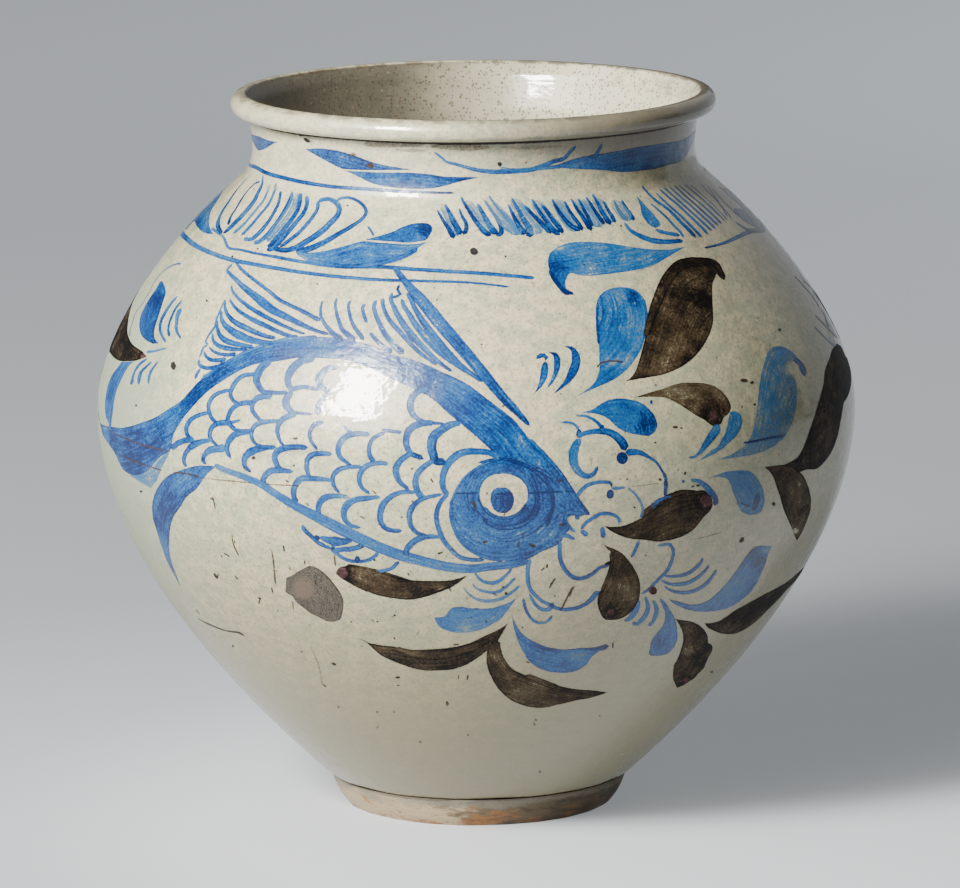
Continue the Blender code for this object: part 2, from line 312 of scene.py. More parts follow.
def makeGlaze(name, look):
    material, wire, join = newMaterial(name, glassy)
    place = wire.node("TexCoord", out=3)
    sideways = place.node("SeparateXYZ", {}, {0: place})
    level = sideways.output(2)
    inside = wire.node("Attribute", {"attribute_name": "inside"}, out=2)
    outside = 1 - inside
    shares = look["inside"]

    def noise(name):
        stretches = look["stretches"]
        ground = place.stretched(*stretches[name]) if name in stretches else place
        return ground.noise(*look["noises"][name])

    def ramp(value, name):
        return value.ramp(*look["ramps"][name])

    washes, cloud, fine = noise("washes"), noise("cloud"), noise("fine")
    crazed = place.stretched(*look["stretches"]["craze"]).cells(look["crazeCells"], "DISTANCE_TO_EDGE")
    pepper, dense, freckle, big = (specks(place, *look["specks"][name]) for name in ("pepper", "dense", "freckle", "big"))
    # inside the mouth: painted shade on the left and painted light on the right
    mouth = ramp(sideways + cloud * shares["cloud"], "mouthLight").blend(tint(look["mouthShading"]), tint(look["lit"]))
    color = layered(ramp(noise("hue"), "pink").blend(tint(look["green"]), tint(look["pink"])), [
        (ramp(washes, "body"), look["body"]),
        (ramp(cloud, "blueGrey"), look["blueGrey"]),
        (ramp(washes, "mottled"), ramp(noise("mottle"), "mossy").blend(tint(look["pale"]), tint(look["mossy"]))),
        (ramp(fine, "fine"), look["fine"]),
        (ramp(noise("smears"), "smear") * ramp(noise("smearField"), "smearField"), look["pepper"]),
        (ramp(crazed, "craze") * ramp(noise("crazeField"), "crazeField"), look["craze"]),
        (inside * shares["mouthShading"], mouth),
        (pepper * (inside * shares["pepper"] + shares["pepperAll"]), look["pepper"]),
        (dense * inside * shares["dense"], look["speck"]),
        (freckle, look["speck"]),
        (big, look["speck"]),
        # on the lip, grime patches kept to its right side: staining that also paints shade there
        (ramp(noise("grime"), "grimePatch") * ramp(sideways, "grimeAndShadeSide") * look["worn"], look["grime"]),
        (ramp(noise("worn"), "wornPatch") * ramp(level, "wornHeight") * look["worn"], look["wornColor"]),
        # darker and browner toward the foot: painted shade
        (ramp(level, "bottom"), look["bottom"]),
        (ramp(noise("dust"), "dust") * look["dusty"], look["dust"]),
    ])
    # the shade factor darkens all of a piece's colour: painted shade, used for the floor disc
    shade = tint([look["shade"]] * 3)
    color = wire.node("Mix", {"data_type": "RGBA", "blend_type": "MULTIPLY"}, {0: 1.0, 6: color, 7: shade}, out=2)
    # painted shade on the right side and, cool-tinted, at the left edge; painted shade on the right of the shoulder and
    # under the right of the lip; and painted light on the left of the neck
    color = layered(color, [
        (ramp(sideways, "shadedSide") * ramp(level, "shadedHeight"), look["shaded"]),
        (ramp(sideways, "coolEdgeShadeSide"), look["coolEdgeShade"]),
        (ramp(sideways, "rightSide") * ramp(level, "rightHeight") * outside, look["grime"]),
        (ramp(level, "neckHeight") * ramp(sideways, "neckSide") * outside, look["lit"]),
        (ramp(level, "underLip") * ramp(sideways, "underLipSide") * outside, look["grime"]),
    ])
    join("Base Color", color)
    join("Coat Weight", ramp(level, "coatHeight") * ramp(sideways, "coatSide") * (1 - inside * shares["coat"]))
    pits = freckle.math("MAXIMUM", freckle, big)
    join("Roughness", ramp(noise("scuffs"), "scuff") + pits * look["pitRoughness"] + fine * look["fineRoughness"]
         + ramp(level, "roughHeight") + ramp(sideways, "roughSide") + inside * ramp(sideways, "roughMouth") + look["roughness"])
    height = glazeHeight(place) * (1 - inside * shares["relief"]) - pits * skin["pits"]
    join("Normal", bumped(height, skin["strength"], skin["distance"]))
    return material


# bare clay of the foot: ash over brown clay, greyer glaze run down from the wall, rust, and soot and brown clay drawn
# toward the right, partly painted shade there

clayLook = {
    "ash": (0.350, 0.270, 0.160), "clay": (0.100, 0.070, 0.034), "pooled": (0.165, 0.155, 0.115), "rust": (0.230, 0.095, 0.025),
    "soot": (0.030, 0.020, 0.012), "edge": (0.070, 0.050, 0.030), "pores": (0.060, 0.042, 0.025),
    "finish": {"Specular IOR Level": 0.40, "Coat Weight": 0.15, "Coat Roughness": 0.3}, "relief": (0.8, 0.0008),
    # patches: their noise, its share, the pull to the right (painted shade on the right of the foot) and up the foot,
    # and the ramp with its share
    "patches": {
        "clay": ((30.0, 4.0, 0.62), 1.0, 4.5, 0.0, (0.36, 0.50)),
        "pooled": ((36.0, 3.0, 0.6), 1.1, 0.0, 55.0, (1.10, 1.35, 0, 0.75)),
        "rust": ((41.0, 4.0, 0.7), 1.0, 0.0, -6.0, (0.46, 0.56, 0, 0.85)),
        "soot": ((60.0, 5.0, 0.7), 1.0, 2.4, -9.0, (0.46, 0.62, 0, 0.68)),
        "edge": ((50.0, 4.0, 0.6), 0.35, 0.0, 55.0, (1.05, 1.11, 0, 0.60)),
    },
    "poreRamp": (0.42, 0.75, 0, 0.40),
}


def makeClay(name, look):
    material, wire, join = newMaterial(name, look["finish"])
    place = wire.node("TexCoord", out=3)
    sideways = wire.node("SeparateXYZ", {}, {0: place})
    turned = place.stretched((1.0, 1.0, 3.2))
    color = tint(look["ash"])
    for patch, (noise, share, right, up, ramp) in look["patches"].items():
        spread = turned.noise(*noise) * share + sideways * right + sideways.output(2) * up
        color = spread.ramp(*ramp).blend(color, tint(look[patch]))
    grain = place.noise(900, 4.0, 0.7)
    join("Base Color", grain.ramp(*look["poreRamp"]).blend(color, tint(look["pores"])))
    join("Roughness", grain * 0.35 + 0.50)
    marks = place.stretched((6.0, 6.0, 420.0)).noise(1.0, 3.0)
    join("Normal", bumped(grain * 0.5 + marks * 0.5 + place.noise(150, 3.0) * 0.6, *look["relief"]))
    return material


wallGlaze = makeGlaze("celadonGlaze", glazeLook)
# the floor disc: dusty glaze, darkened as painted shade
floorGlaze = makeGlaze("pooledShadedGlaze", dict(glazeLook, shade=0.72, dusty=0.5))
rimGlaze = makeGlaze("rimGlaze", dict(glazeLook, body=(0.400, 0.360, 0.240), pink=(0.410, 0.335, 0.215), worn=0.85))
bareClay = makeClay("bareClay", clayLook)
print("glaze and clay ready")


# a turned piece: its outline is a circle primitive pulled into shape and spun about the jar's axis

turning = {"steps": 256, "smooth": math.radians(42), "weld": 0.000008, "steadyRadius": 0.06, "mouthRadius": 0.1344,
           "skinDeep": 0.0008, "wallDeep": 0.0012, "lipDeep": 0.0005}


def turnedPiece(name, points, wavy=True, warp=None):
    deselectAll()
    bpy.ops.mesh.primitive_circle_add(vertices=len(points), radius=0.1)
    piece = bpy.context.object
    piece.name = piece.data.name = name
    for vertex, (radius, height) in zip(piece.data.vertices, points):
        vertex.co = (radius, 0.0, height)
    bpy.ops.object.mode_set(mode="EDIT")
    bpy.ops.mesh.select_all(action="SELECT")
    bpy.ops.mesh.spin(steps=turning["steps"], angle=math.tau, center=(0, 0, 0), axis=(0, 0, 1), use_auto_merge=True)
    bpy.ops.mesh.select_all(action="SELECT")
    bpy.ops.mesh.remove_doubles(threshold=turning["weld"])
    bpy.ops.mesh.normals_make_consistent(inside=False)
    bpy.ops.object.mode_set(mode="OBJECT")
    piece.matrix_world = Matrix.Identity(4)
    places = np.zeros(len(piece.data.vertices) * 3)
    piece.data.vertices.foreach_get("co", places)
    x, y, height = places.reshape(-1, 3).T
    angle, radius = np.arctan2(x, -y), np.hypot(x, y)
    # how far a point lies behind the outer face, in the wall and in the throat of the lip
    behindWall = (np.interp(height, wallLine[:, 1], wallLine[:, 0]) - radius - turning["skinDeep"]) / turning["wallDeep"]
    behindLip = np.where(height > wallLine[-1, 1] + 0.00001, (turning["mouthRadius"] - radius) / turning["lipDeep"], 0)
    inside = np.clip(np.maximum(behindWall, behindLip), 0, 1).astype(np.float32)
    if warp:
        radius, height = warp(angle, radius, height)
    if wavy:
        radius = radius - handInset(angle, height) * np.clip(radius / turning["steadyRadius"], 0, 1)
    piece.data.vertices.foreach_set("co", aroundAxis(angle, radius, height).ravel())
    piece.data.attributes.new("inside", "FLOAT", "POINT").data.foreach_set("value", inside)
    piece.data.update()
    bpy.ops.object.shade_smooth_by_angle(angle=turning["smooth"])
    return piece


hair = outline["hairGap"]
seatRadius, seatHeight = outline["wallSeat"]
seamInnerHeight = outline["seam"] - outline["seamBevel"]

# lower bowl, from the foot to the seam

lowerBowl = {
    "outerSteps": 92, "innerSteps": 40, "toeSteps": 6, "toePull": (0.80, 0.50), "lipRound": 0.0009,
    "glazeTop": 0.0250, "glazeDepth": 0.007, "glazeBeyond": 0.0855, "glazeThick": 0.0004, "glazeCreep": 0.0005,
}


def glazeEdge(angle, radius, height):
    # the glaze stops over the foot in an uneven, slightly thickened edge
    low = np.clip((lowerBowl["glazeTop"] - height) / lowerBowl["glazeDepth"], 0, 1) * (radius > lowerBowl["glazeBeyond"])
    creep = 0.5 + 0.5 * np.sin(5 * angle + 0.7) * np.sin(2 * angle + 2.0) + 0.25 * np.sin(13 * angle)
    rise = low * lowerBowl["glazeCreep"] * np.clip(creep, 0, 1)
    return radius - low * lowerBowl["glazeThick"] * creep, height + rise


toeRadius = outline["socket"] - outline["floorLap"]
toe = curve((toeRadius, seatHeight + outline["wallToe"]), quarterTurn, innerFoot, leans["lowerStart"], lowerBowl["toePull"])
footEdge = lowerBowl["lipRound"]
points = [(seatRadius - footEdge, seatHeight), (seatRadius - footEdge * 0.3, seatHeight + footEdge * 0.25)]
outer = pointsAlong(lowerOuter, lowerBowl["outerSteps"], 0.0, shareAt(lowerOuter, outline["seam"]))
points += [point for point in outer if point[1] > seatHeight + footEdge]
points += pointsAlong(lowerInner, lowerBowl["innerSteps"], shareAt(lowerInner, seamInnerHeight), 0.0)
points += pointsAlong(toe, lowerBowl["toeSteps"], 1.0, 0.0)[1:] + [(toeRadius, seatHeight)]
finishPiece(turnedPiece("lowerBowl", points, True, glazeEdge), wallGlaze, "glaze", ["lower_wall"])

# upper bowl, from the seam to the neck

upperBowl = {"outerSteps": 74, "innerSteps": 40, "seamSteps": 5, "seamRise": 0.0022}
points = [curvePoint(lowerOuter, shareAt(lowerOuter, outline["seam"] + hair))]
points += pointsAlong(lowerOuter, upperBowl["seamSteps"], shareAt(lowerOuter, outline["seam"] + upperBowl["seamRise"]), 1.0)
points += pointsAlong(shoulderOuter, upperBowl["outerSteps"])[1:]
points += pointsAlong(shoulderInner, upperBowl["innerSteps"], 1.0, 0.0)
points += [curvePoint(lowerInner, shareAt(lowerInner, seamInnerHeight + hair))]
finishPiece(turnedPiece("upperBowl", points), wallGlaze, "glaze", ["upper_wall"])

# collar, a little wider at the throat than the solid's

collar = {"outerSteps": 30, "innerSteps": 24, "flareTop": (0.1268, 0.4178), "flareLean": math.radians(20.0),
          "pull": (0.39, 0.35)}
outer = pointsAlong(neckOuter, collar["outerSteps"])
flare = curve(innerJoint, leans["shoulderEnd"], collar["flareTop"], collar["flareLean"], collar["pull"])
inner = pointsAlong(flare, collar["innerSteps"], 1.0, 0.0)
outer[0] = moved(outer[0], leans["shoulderEnd"], hair)
inner[-1] = moved(inner[-1], leans["shoulderEnd"], hair)
finishPiece(turnedPiece("collar", outer + inner), wallGlaze, "glaze", ["neck"])

# rolled lip

lip = {
    "steps": 40, "throatSteps": 8, "endTurn": math.radians(104.0), "edgeLean": math.radians(44.0), "pull": (0.45, 0.30),
    "softFrom": 0.4180, "softDepth": 0.008, "droop": 0.00015, "sag": 0.00010, "pinch": 0.00025,
}


def softRoll(angle, radius, height):
    # the roll was pressed by hand: it droops and thickens a little round the mouth
    high = np.clip((height - lip["softFrom"]) / lip["softDepth"], 0, 1)
    droop = high * (lip["droop"] * (1 + np.sin(angle)) + lip["sag"] * (1 + np.sin(3 * angle + 0.5)))
    return radius - high * lip["pinch"] * (1 + np.cos(5 * angle)), height - droop


halfWide, halfHigh = outline["rollHalf"]
middleRadius, middleHeight = outline["rollMiddle"]
rollSeat = outline["neckTop"][1] + hair
startTurn = math.asin((middleHeight - rollSeat) / halfHigh) - math.pi
points = []
for i in range(lip["steps"] + 1):
    turn = startTurn + (lip["endTurn"] - startTurn) * i / lip["steps"]
    points.append((middleRadius + halfWide * math.cos(turn), middleHeight + halfHigh * math.sin(turn)))
throat = curve((collar["flareTop"][0], rollSeat), collar["flareLean"], points[-1], lip["edgeLean"], lip["pull"])
points += pointsAlong(throat, lip["throatSteps"], 1.0, 0.0)[1:]
finishPiece(turnedPiece("rolledLip", points, True, softRoll), rimGlaze, "glaze", ["rim_roll"])

# foot ring

foot = {"sideSteps": 12, "chamfer": 0.0007, "pull": (0.33, 0.33), "cutBeyond": 0.0785, "cutBelow": 0.0172,
        "chatter": 0.00022, "nicks": 0.00016}


def trimmedFoot(angle, radius, height):
    # cut with a tool while it turned, then chipped and worn
    outside = (radius > foot["cutBeyond"]) & (height < foot["cutBelow"])
    chatter = foot["chatter"] * (1 + np.sin(7 * angle + 240 * height)) + foot["nicks"] * (1 + np.sin(23 * angle + 1.3))
    return radius - outside * chatter, height


footTop, socket, recess, chamfer = outline["footTop"], outline["socket"], outline["recess"], foot["chamfer"]
ringBottom = (footTop[0] - outline["footTaper"], 0.0)
side = curve(ringBottom, leans["footBottom"], footTop, leans["footTop"], foot["pull"])
points = [(ringBottom[0] - chamfer, 0.0)] + pointsAlong(side, foot["sideSteps"])
points += [(socket, footTop[1]), (socket, recess), (outline["ledgeInner"], recess),
           (outline["ringInner"] - chamfer * 0.3, chamfer), (outline["ringInner"] + chamfer, 0.0)]
finishPiece(turnedPiece("footRing", points, False, trimmedFoot), bareClay, "bare_clay", ["foot_ring"])

# floor disc, domed inside

disc = {"clear": 0.0003, "domeSteps": 12}
discRadius, under, domed = socket - disc["clear"], recess + disc["clear"], toeRadius - disc["clear"]
points = [(0.0, under), (discRadius, under), (discRadius, footTop[1])]
for i in range(disc["domeSteps"] + 1):
    inward = quarterTurn * i / disc["domeSteps"]
    points.append((domed * (1 - math.sin(inward)), footTop[1] + outline["floorDome"] * (1 - math.cos(inward))))
finishPiece(turnedPiece("floorDisc", points, False), floorGlaze, "glaze", ["floor_disc"])
print("turned pieces ready")


# the camera of the photograph, and where its pixels meet the wall

view = {"focal": 6784.92, "place": (0.00211, -4.0, 0.95459), "pitch": 0.18272, "roll": 0.0091, "middle": (480.0, 444.0),
        "sensor": 36.0, "width": 960.0, "farEnd": 60.0, "nearWall": 3.6, "farWall": 4.5, "looks": 1801}
cosPitch, sinPitch = math.cos(view["pitch"]), math.sin(view["pitch"])
cosRoll, sinRoll = math.cos(view["roll"]), math.sin(view["roll"])


def toPhoto(points):
    x, y, z = (points[..., i] - view["place"][i] for i in range(3))
    depth = y * cosPitch - z * sinPitch
    u = view["focal"] * x / depth
    v = -view["focal"] * (y * sinPitch + z * cosPitch) / depth
    return np.stack([view["middle"][0] + cosRoll * u + sinRoll * v,
                     view["middle"][1] - sinRoll * u + cosRoll * v], axis=-1)


def fromPhoto(pixels):
    # wall angle and distance along the wall for points of the photograph, held at the silhouette
    du, dv = (np.asarray(pixels, float) - view["middle"]).T
    u, v = cosRoll * du - sinRoll * dv, sinRoll * du + cosRoll * dv
    ray = np.stack([u, view["focal"] * cosPitch - v * sinPitch, -view["focal"] * sinPitch - v * cosPitch], axis=-1)
    ray /= np.linalg.norm(ray, axis=1)[:, None]
    far = np.linspace(view["nearWall"], view["farWall"], view["looks"])
    path = np.array(view["place"]) + ray[:, None, :] * far[None, :, None]
    radius = np.hypot(path[..., 0], path[..., 1])
    height = np.clip(path[..., 2], wallLine[0, 1], wallLine[-1, 1])
    gap = radius - np.interp(height, wallLine[:, 1], wallLine[:, 0])
    hit = np.where((gap < 0).any(axis=1), (gap < 0).argmax(axis=1), gap.argmin(axis=1))
    found = path[np.arange(len(hit)), hit]
    reach = np.interp(np.clip(found[:, 2], wallLine[0, 1], wallLine[-1, 1]), wallLine[:, 1], wallReach)
    return np.stack([np.arctan2(found[:, 0], -found[:, 1]), reach], axis=-1)


bpy.ops.object.camera_add(location=view["place"])
camera = bpy.context.object
camera.name = "photoCamera"
camera.data.lens = view["focal"] / view["width"] * view["sensor"]
camera.data.sensor_width = view["sensor"]
camera.data.sensor_fit = "HORIZONTAL"
camera.data.clip_end = view["farEnd"]
turn = Matrix.Rotation(quarterTurn - view["pitch"], 4, "X") @ Matrix.Rotation(-view["roll"], 4, "Z")
camera.matrix_world = Matrix.Translation(view["place"]) @ turn
bpy.context.scene.camera = camera


# plain pale floor and soft studio light; the floor's colour is painted light and shade, bright round the jar, darker
# further out and paler far behind, and the floor glows faintly as painted light

studio = {
    "floorRadius": 14.0, "paintedGlow": (0.90, 0.96, 1.0), "shadeShift": (-0.16, 0.04, 0.0), "shadeScale": 0.1,
    "finish": {"Roughness": 0.85, "Specular IOR Level": 0.2, "Emission Strength": 0.235},
    "paperShading": [(0.0, (0.43, 0.44, 0.465)), (0.032, (0.43, 0.44, 0.465)), (0.046, (0.30, 0.31, 0.33)),
              (0.075, (0.225, 0.235, 0.25)), (0.16, (0.245, 0.255, 0.272)), (0.26, (0.280, 0.295, 0.314)),
              (0.42, (0.50, 0.525, 0.555))],
    "world": (0.82, 0.87, 0.92), "worldStrength": 0.045,
    # place, aim, size, power and colour
    "lights": {
        "keySoftbox": ((-1.52, -1.81, 1.90), (-0.06, -0.20, 0.28), (0.70, 0.98), 262.0, (1.0, 0.985, 0.955)),
        "nearScrim": ((-1.85, -2.02, 1.84), (-0.06, -0.10, 0.28), (1.9, 1.5), 66.0, (1.0, 0.985, 0.955)),
        "farScrim": ((-2.35, -2.20, 1.95), (-0.06, -0.10, 0.28), (3.4, 2.6), 80.0, (1.0, 0.985, 0.955)),
        "sidePanel": ((2.3, 3.0, 1.4), (0.05, 0.0, 0.22), (4.0, 2.4), 11.0, (0.97, 0.99, 1.0)),
        "backWash": ((1.5, 1.8, 2.2), (2.7, 4.5, 0.0), (1.6, 0.9), 44.0, (0.94, 0.975, 1.0)),
    },
}

deselectAll()
bpy.ops.mesh.primitive_circle_add(vertices=96, radius=studio["floorRadius"], fill_type="TRIFAN", location=(0, 0, 0))
floor = bpy.context.object
floor.name = "studioFloor"
paperShading, wire, join = newMaterial("shadedStudioPaper", dict(studio["finish"], **{"Emission Color": tint(studio["paintedGlow"])}))
spread = wire.node("TexCoord", out=3).stretched((1.0, 1.0, 1.0), studio["shadeShift"])
away = wire.node("VectorMath", {"operation": "LENGTH"}, {0: spread}, out=1) * studio["shadeScale"]
join("Base Color", wire.node("ValToRGB", {"stops": studio["paperShading"]}, {0: away}))
floor.data.materials.append(paperShading)

world = bpy.data.worlds.new("studioAir")
bpy.context.scene.world = world
world.use_nodes = True
air = world.node_tree.nodes["Background"]
air.inputs[0].default_value = tint(studio["world"])
air.inputs[1].default_value = studio["worldStrength"]

for name, (spot, aim, size, power, color) in studio["lights"].items():
    bpy.ops.object.light_add(type="AREA", location=spot)
    lamp = bpy.context.object
    lamp.name = name
    lamp.data.shape = "RECTANGLE"
    lamp.data.size, lamp.data.size_y = size
    lamp.data.energy = power
    lamp.data.color = color
    lamp.rotation_euler = (Vector(aim) - lamp.location).to_track_quat("-Z", "Y").to_euler()
print("camera, floor and lights ready")


# painting tools: each brush stroke is a grid laid on the wall between two edges, a hair thick

brushKit = {
    "lift": 0.00007, "layer": 0.000008, "layers": 14, "thickness": 0.00030, "smooth": math.radians(50),
    "leafStep": 0.0024, "leafSteps": (8, 120), "lineStep": 0.0017, "lineSteps": (5, 240),
    "acrossStep": 0.0028, "acrossSteps": (2, 14),
    "wide": 1.22, "edge": 0.00040, "plainScale": 1.65, "scales": (0.75, 3.0), "frontTo": 1.15, "meanRadius": 0.2,
    "fadeOver": 0.30, "poolFrom": 0.72, "unlike": (0.93, 1.07), "seeds": 40, "fullest": 1.6,
    "leafPool": 0.1, "dotHole": 0.04, "dotSteps": 24, "closest": 0.00005, "shortest": 0.0005,
}
grain = np.random.default_rng(41)


def readPoints(text):
    # "x,y" is a pixel of the photograph; "@angle:height" is degrees round the wall and millimetres up it
    words = text.split()
    found = np.zeros((len(words), 2))
    pixels = [i for i, word in enumerate(words) if word[0] != "@"]
    if pixels:
        found[pixels] = fromPhoto([[float(n) for n in words[i].split(",")] for i in pixels])
    for i, word in enumerate(words):
        if word[0] == "@":
            angle, height = (float(n) for n in word[1:].split(":"))
            found[i] = math.radians(angle), np.interp(height / 1000, wallLine[:, 1], wallReach)
    return found


def roughSteps(points):
    return np.hypot(np.diff(points[:, 0]) * brushKit["meanRadius"], np.diff(points[:, 1]))


def flow(points, share):
    # a smooth line through the points, read at even shares of its length
    points = points[np.concatenate([[True], roughSteps(points) > brushKit["closest"]])]
    knots = np.concatenate([[0], np.cumsum(roughSteps(points))])
    if len(points) > 2:
        slopes = np.gradient(points, knots, axis=0)
    else:
        slopes = np.tile((points[-1] - points[0]) / knots[-1], (2, 1))
    at = np.clip(share, 0, 1) * knots[-1]
    i = np.clip(np.searchsorted(knots, at, side="right") - 1, 0, len(knots) - 2)
    span = (knots[i + 1] - knots[i])[:, None]
    t = ((at - knots[i])[:, None]) / span
    return ((2 * t ** 3 - 3 * t ** 2 + 1) * points[i] + (t ** 3 - 2 * t ** 2 + t) * span * slopes[i]
            + (3 * t ** 2 - 2 * t ** 3) * points[i + 1] + (t ** 3 - t ** 2) * span * slopes[i + 1])


def wallRadius(places):
    return np.interp(places[:, 1], wallReach, wallLine[:, 0])


def wallLength(places):
    radius = wallRadius(places)
    middle = (radius[1:] + radius[:-1]) / 2
    return np.concatenate([[0], np.cumsum(np.hypot(np.diff(places[:, 0]) * middle, np.diff(places[:, 1])))])


def leafEdges(first, second):
    a, b = readPoints(first), readPoints(second)
    rough = max(wallLength(a)[-1], wallLength(b)[-1])
    share = np.linspace(0, 1, int(np.clip(rough / brushKit["leafStep"], *brushKit["leafSteps"])) + 1)
    return flow(a, share), flow(b, share)


def lineEdges(text, widths, bold, overshoot):
    points = readPoints(text)
    for end, near in ((0, 1), (-1, -2)):
        step = points[end] - points[near]
        length = max(np.hypot(step[0] * brushKit["meanRadius"], step[1]), brushKit["shortest"])
        points[end] += step * overshoot / length
    count = int(np.clip(wallLength(points)[-1] / brushKit["lineStep"], *brushKit["lineSteps"]))
    share = np.linspace(0, 1, count + 1)
    middle = flow(points, share)
    reach = wallLength(middle)
    radius = wallRadius(middle)
    slope = np.gradient(middle, share, axis=0) * np.stack([radius, np.ones_like(radius)], axis=-1)
    slope /= np.linalg.norm(slope, axis=1)[:, None] + 1e-12
    cross = np.stack([-slope[:, 1] / radius, slope[:, 0]], axis=-1)
    # widths are given in pixels: a millimetre across the stroke, seen in the photograph, turns them into metres
    aside = middle + cross * 0.001
    scale = np.linalg.norm(toPhoto(onWall(*aside.T, 0.0)) - toPhoto(onWall(*middle.T, 0.0)), axis=1)
    scale = np.where(np.abs(middle[:, 0]) < brushKit["frontTo"], np.clip(scale, *brushKit["scales"]), brushKit["plainScale"])
    wide = [float(w) for w in widths.split()]
    half = np.interp(share, np.linspace(0, 1, len(wide)), wide) * brushKit["wide"] * bold / scale / 2000 + brushKit["edge"]
    near = np.minimum(reach, reach[-1] - reach) / np.maximum(half, 1e-6)
    half *= np.sqrt(np.clip(1 - (1 - np.clip(near, 0, 1)) ** 2, 0.02, 1))
    return middle + cross * half[:, None], middle - cross * half[:, None]


def dotEdges(x, y, wide, high, tilt):
    # a filled dot about a pixel of the photograph
    turn, lean = np.linspace(0, math.tau, brushKit["dotSteps"] + 1), math.radians(tilt)
    ring = np.stack([wide * np.cos(turn) * math.cos(lean) - high * np.sin(turn) * math.sin(lean),
                     wide * np.cos(turn) * math.sin(lean) + high * np.sin(turn) * math.cos(lean)], axis=-1)
    return fromPhoto(ring + (x, y)), fromPhoto(ring * brushKit["dotHole"] + (x, y))


def between(along, share, edge):
    return np.stack([np.interp(along, share, edge[:, 0]), np.interp(along, share, edge[:, 1])], axis=-1)


def writeAttribute(mesh, name, kind, field, values):
    mesh.attributes.new(name, kind, "POINT").data.foreach_set(field, values.astype(np.float32).ravel())


def paintPiece(name, material, strokes, pools, turn=0.0, mirror=False, squeeze=1.0, slot="glaze"):
    # strokes: (edges, load, fade at the start, pool at the end, whether it is a dot)
    deselectAll()
    grids, total = [], 0
    for k, (edges, *look) in enumerate(strokes):
        first, second = (edge * (-1, 1) if mirror else edge for edge in edges)
        rows = len(first) - 1
        gap = np.hypot((second[:, 0] - first[:, 0]) * wallRadius(first), second[:, 1] - first[:, 1])
        columns = int(np.clip(gap.max() / brushKit["acrossStep"], *brushKit["acrossSteps"]))
        # the grid's faces look outward when its second edge lies to the left of the stroke
        ahead = np.diff(first + second, axis=0) / 2
        aside = ((second - first)[1:] + (second - first)[:-1]) / 2
        if (aside[:, 0] * ahead[:, 1] - aside[:, 1] * ahead[:, 0]).sum() < 0:
            first, second = second, first
        bpy.ops.mesh.primitive_grid_add(x_subdivisions=columns, y_subdivisions=rows, size=1, location=(0, 0, 0))
        if k == 0:
            piece = bpy.context.object
            piece.name = piece.data.name = name
            bpy.ops.object.mode_set(mode="EDIT")
        size = (columns + 1) * (rows + 1)
        grids.append((slice(total, total + size), first, second, *look))
        total += size
    bpy.ops.object.mode_set(mode="OBJECT")
    flat = np.zeros(len(piece.data.vertices) * 3)
    piece.data.vertices.foreach_get("co", flat)
    flat = flat.reshape(-1, 3)
    places, paint, brush = np.zeros_like(flat), np.zeros((len(flat), 4)), np.zeros_like(flat)
    for k, (part, first, second, load, fade, pool, dot) in enumerate(grids):
        across, along = flat[part, 0] + 0.5, flat[part, 1] + 0.5
        share = np.linspace(0, 1, len(first))
        edgeA, edgeB = between(along, share, first), between(along, share, second)
        spot = edgeA + (edgeB - edgeA) * across[:, None]
        gap = np.hypot((edgeB - edgeA)[:, 0] * wallRadius(spot), (edgeB - edgeA)[:, 1])
        seed = grain.uniform(0, brushKit["seeds"])
        fill = np.full(len(spot), load * grain.uniform(*brushKit["unlike"]))
        if dot:
            border = gap * (1 - across) if np.ptp(second[:, 0]) > np.ptp(first[:, 0]) else gap * across
        else:
            border = gap * (1 - np.abs(across * 2 - 1)) / 2
            begin = np.clip(along / brushKit["fadeOver"], 0, 1)
            fill *= 1 - fade * (1 - begin * begin * (3 - 2 * begin))
            end = np.clip((along - brushKit["poolFrom"]) / (1 - brushKit["poolFrom"]), 0, 1)
            fill *= 1 + pool * end * end
        front = spot * (-1, 1) if mirror else spot
        seen = toPhoto(onWall(*front.T, 0.0))
        for x, y, reach, strength in pools:
            fill += strength * np.exp(-((seen[:, 0] - x) ** 2 + (seen[:, 1] - y) ** 2) / reach ** 2)
        lift = brushKit["lift"] + brushKit["layer"] * (k % brushKit["layers"])
        places[part] = onWall(spot[:, 0] * squeeze + turn, spot[:, 1], lift)
        seeds = np.full(len(spot), seed)
        fill = np.clip(fill, 0, brushKit["fullest"])
        paint[part] = np.stack([fill, border * 1000, along, seeds / brushKit["seeds"]], axis=-1)
        length = wallLength((first + second) / 2)[-1]
        brush[part] = np.stack([across * gap * 1000, along * length * 1000, seeds], axis=-1)
    piece.data.vertices.foreach_set("co", places.ravel())
    writeAttribute(piece.data, "paint", "FLOAT_COLOR", "color", paint)
    writeAttribute(piece.data, "brush", "FLOAT_VECTOR", "vector", brush)
    piece.data.update()
    wall = piece.modifiers.new("body", "SOLIDIFY")
    wall.thickness = brushKit["thickness"]
    wall.offset = -1.0
    bpy.context.view_layer.objects.active = piece
    bpy.ops.object.modifier_apply(modifier="body")
    bpy.ops.object.select_all(action="DESELECT")
    piece.select_set(True)
    bpy.ops.object.shade_smooth_by_angle(angle=brushKit["smooth"])
    print(name, len(strokes), "strokes,", len(piece.data.polygons), "faces")
    finishPiece(piece, material, slot)


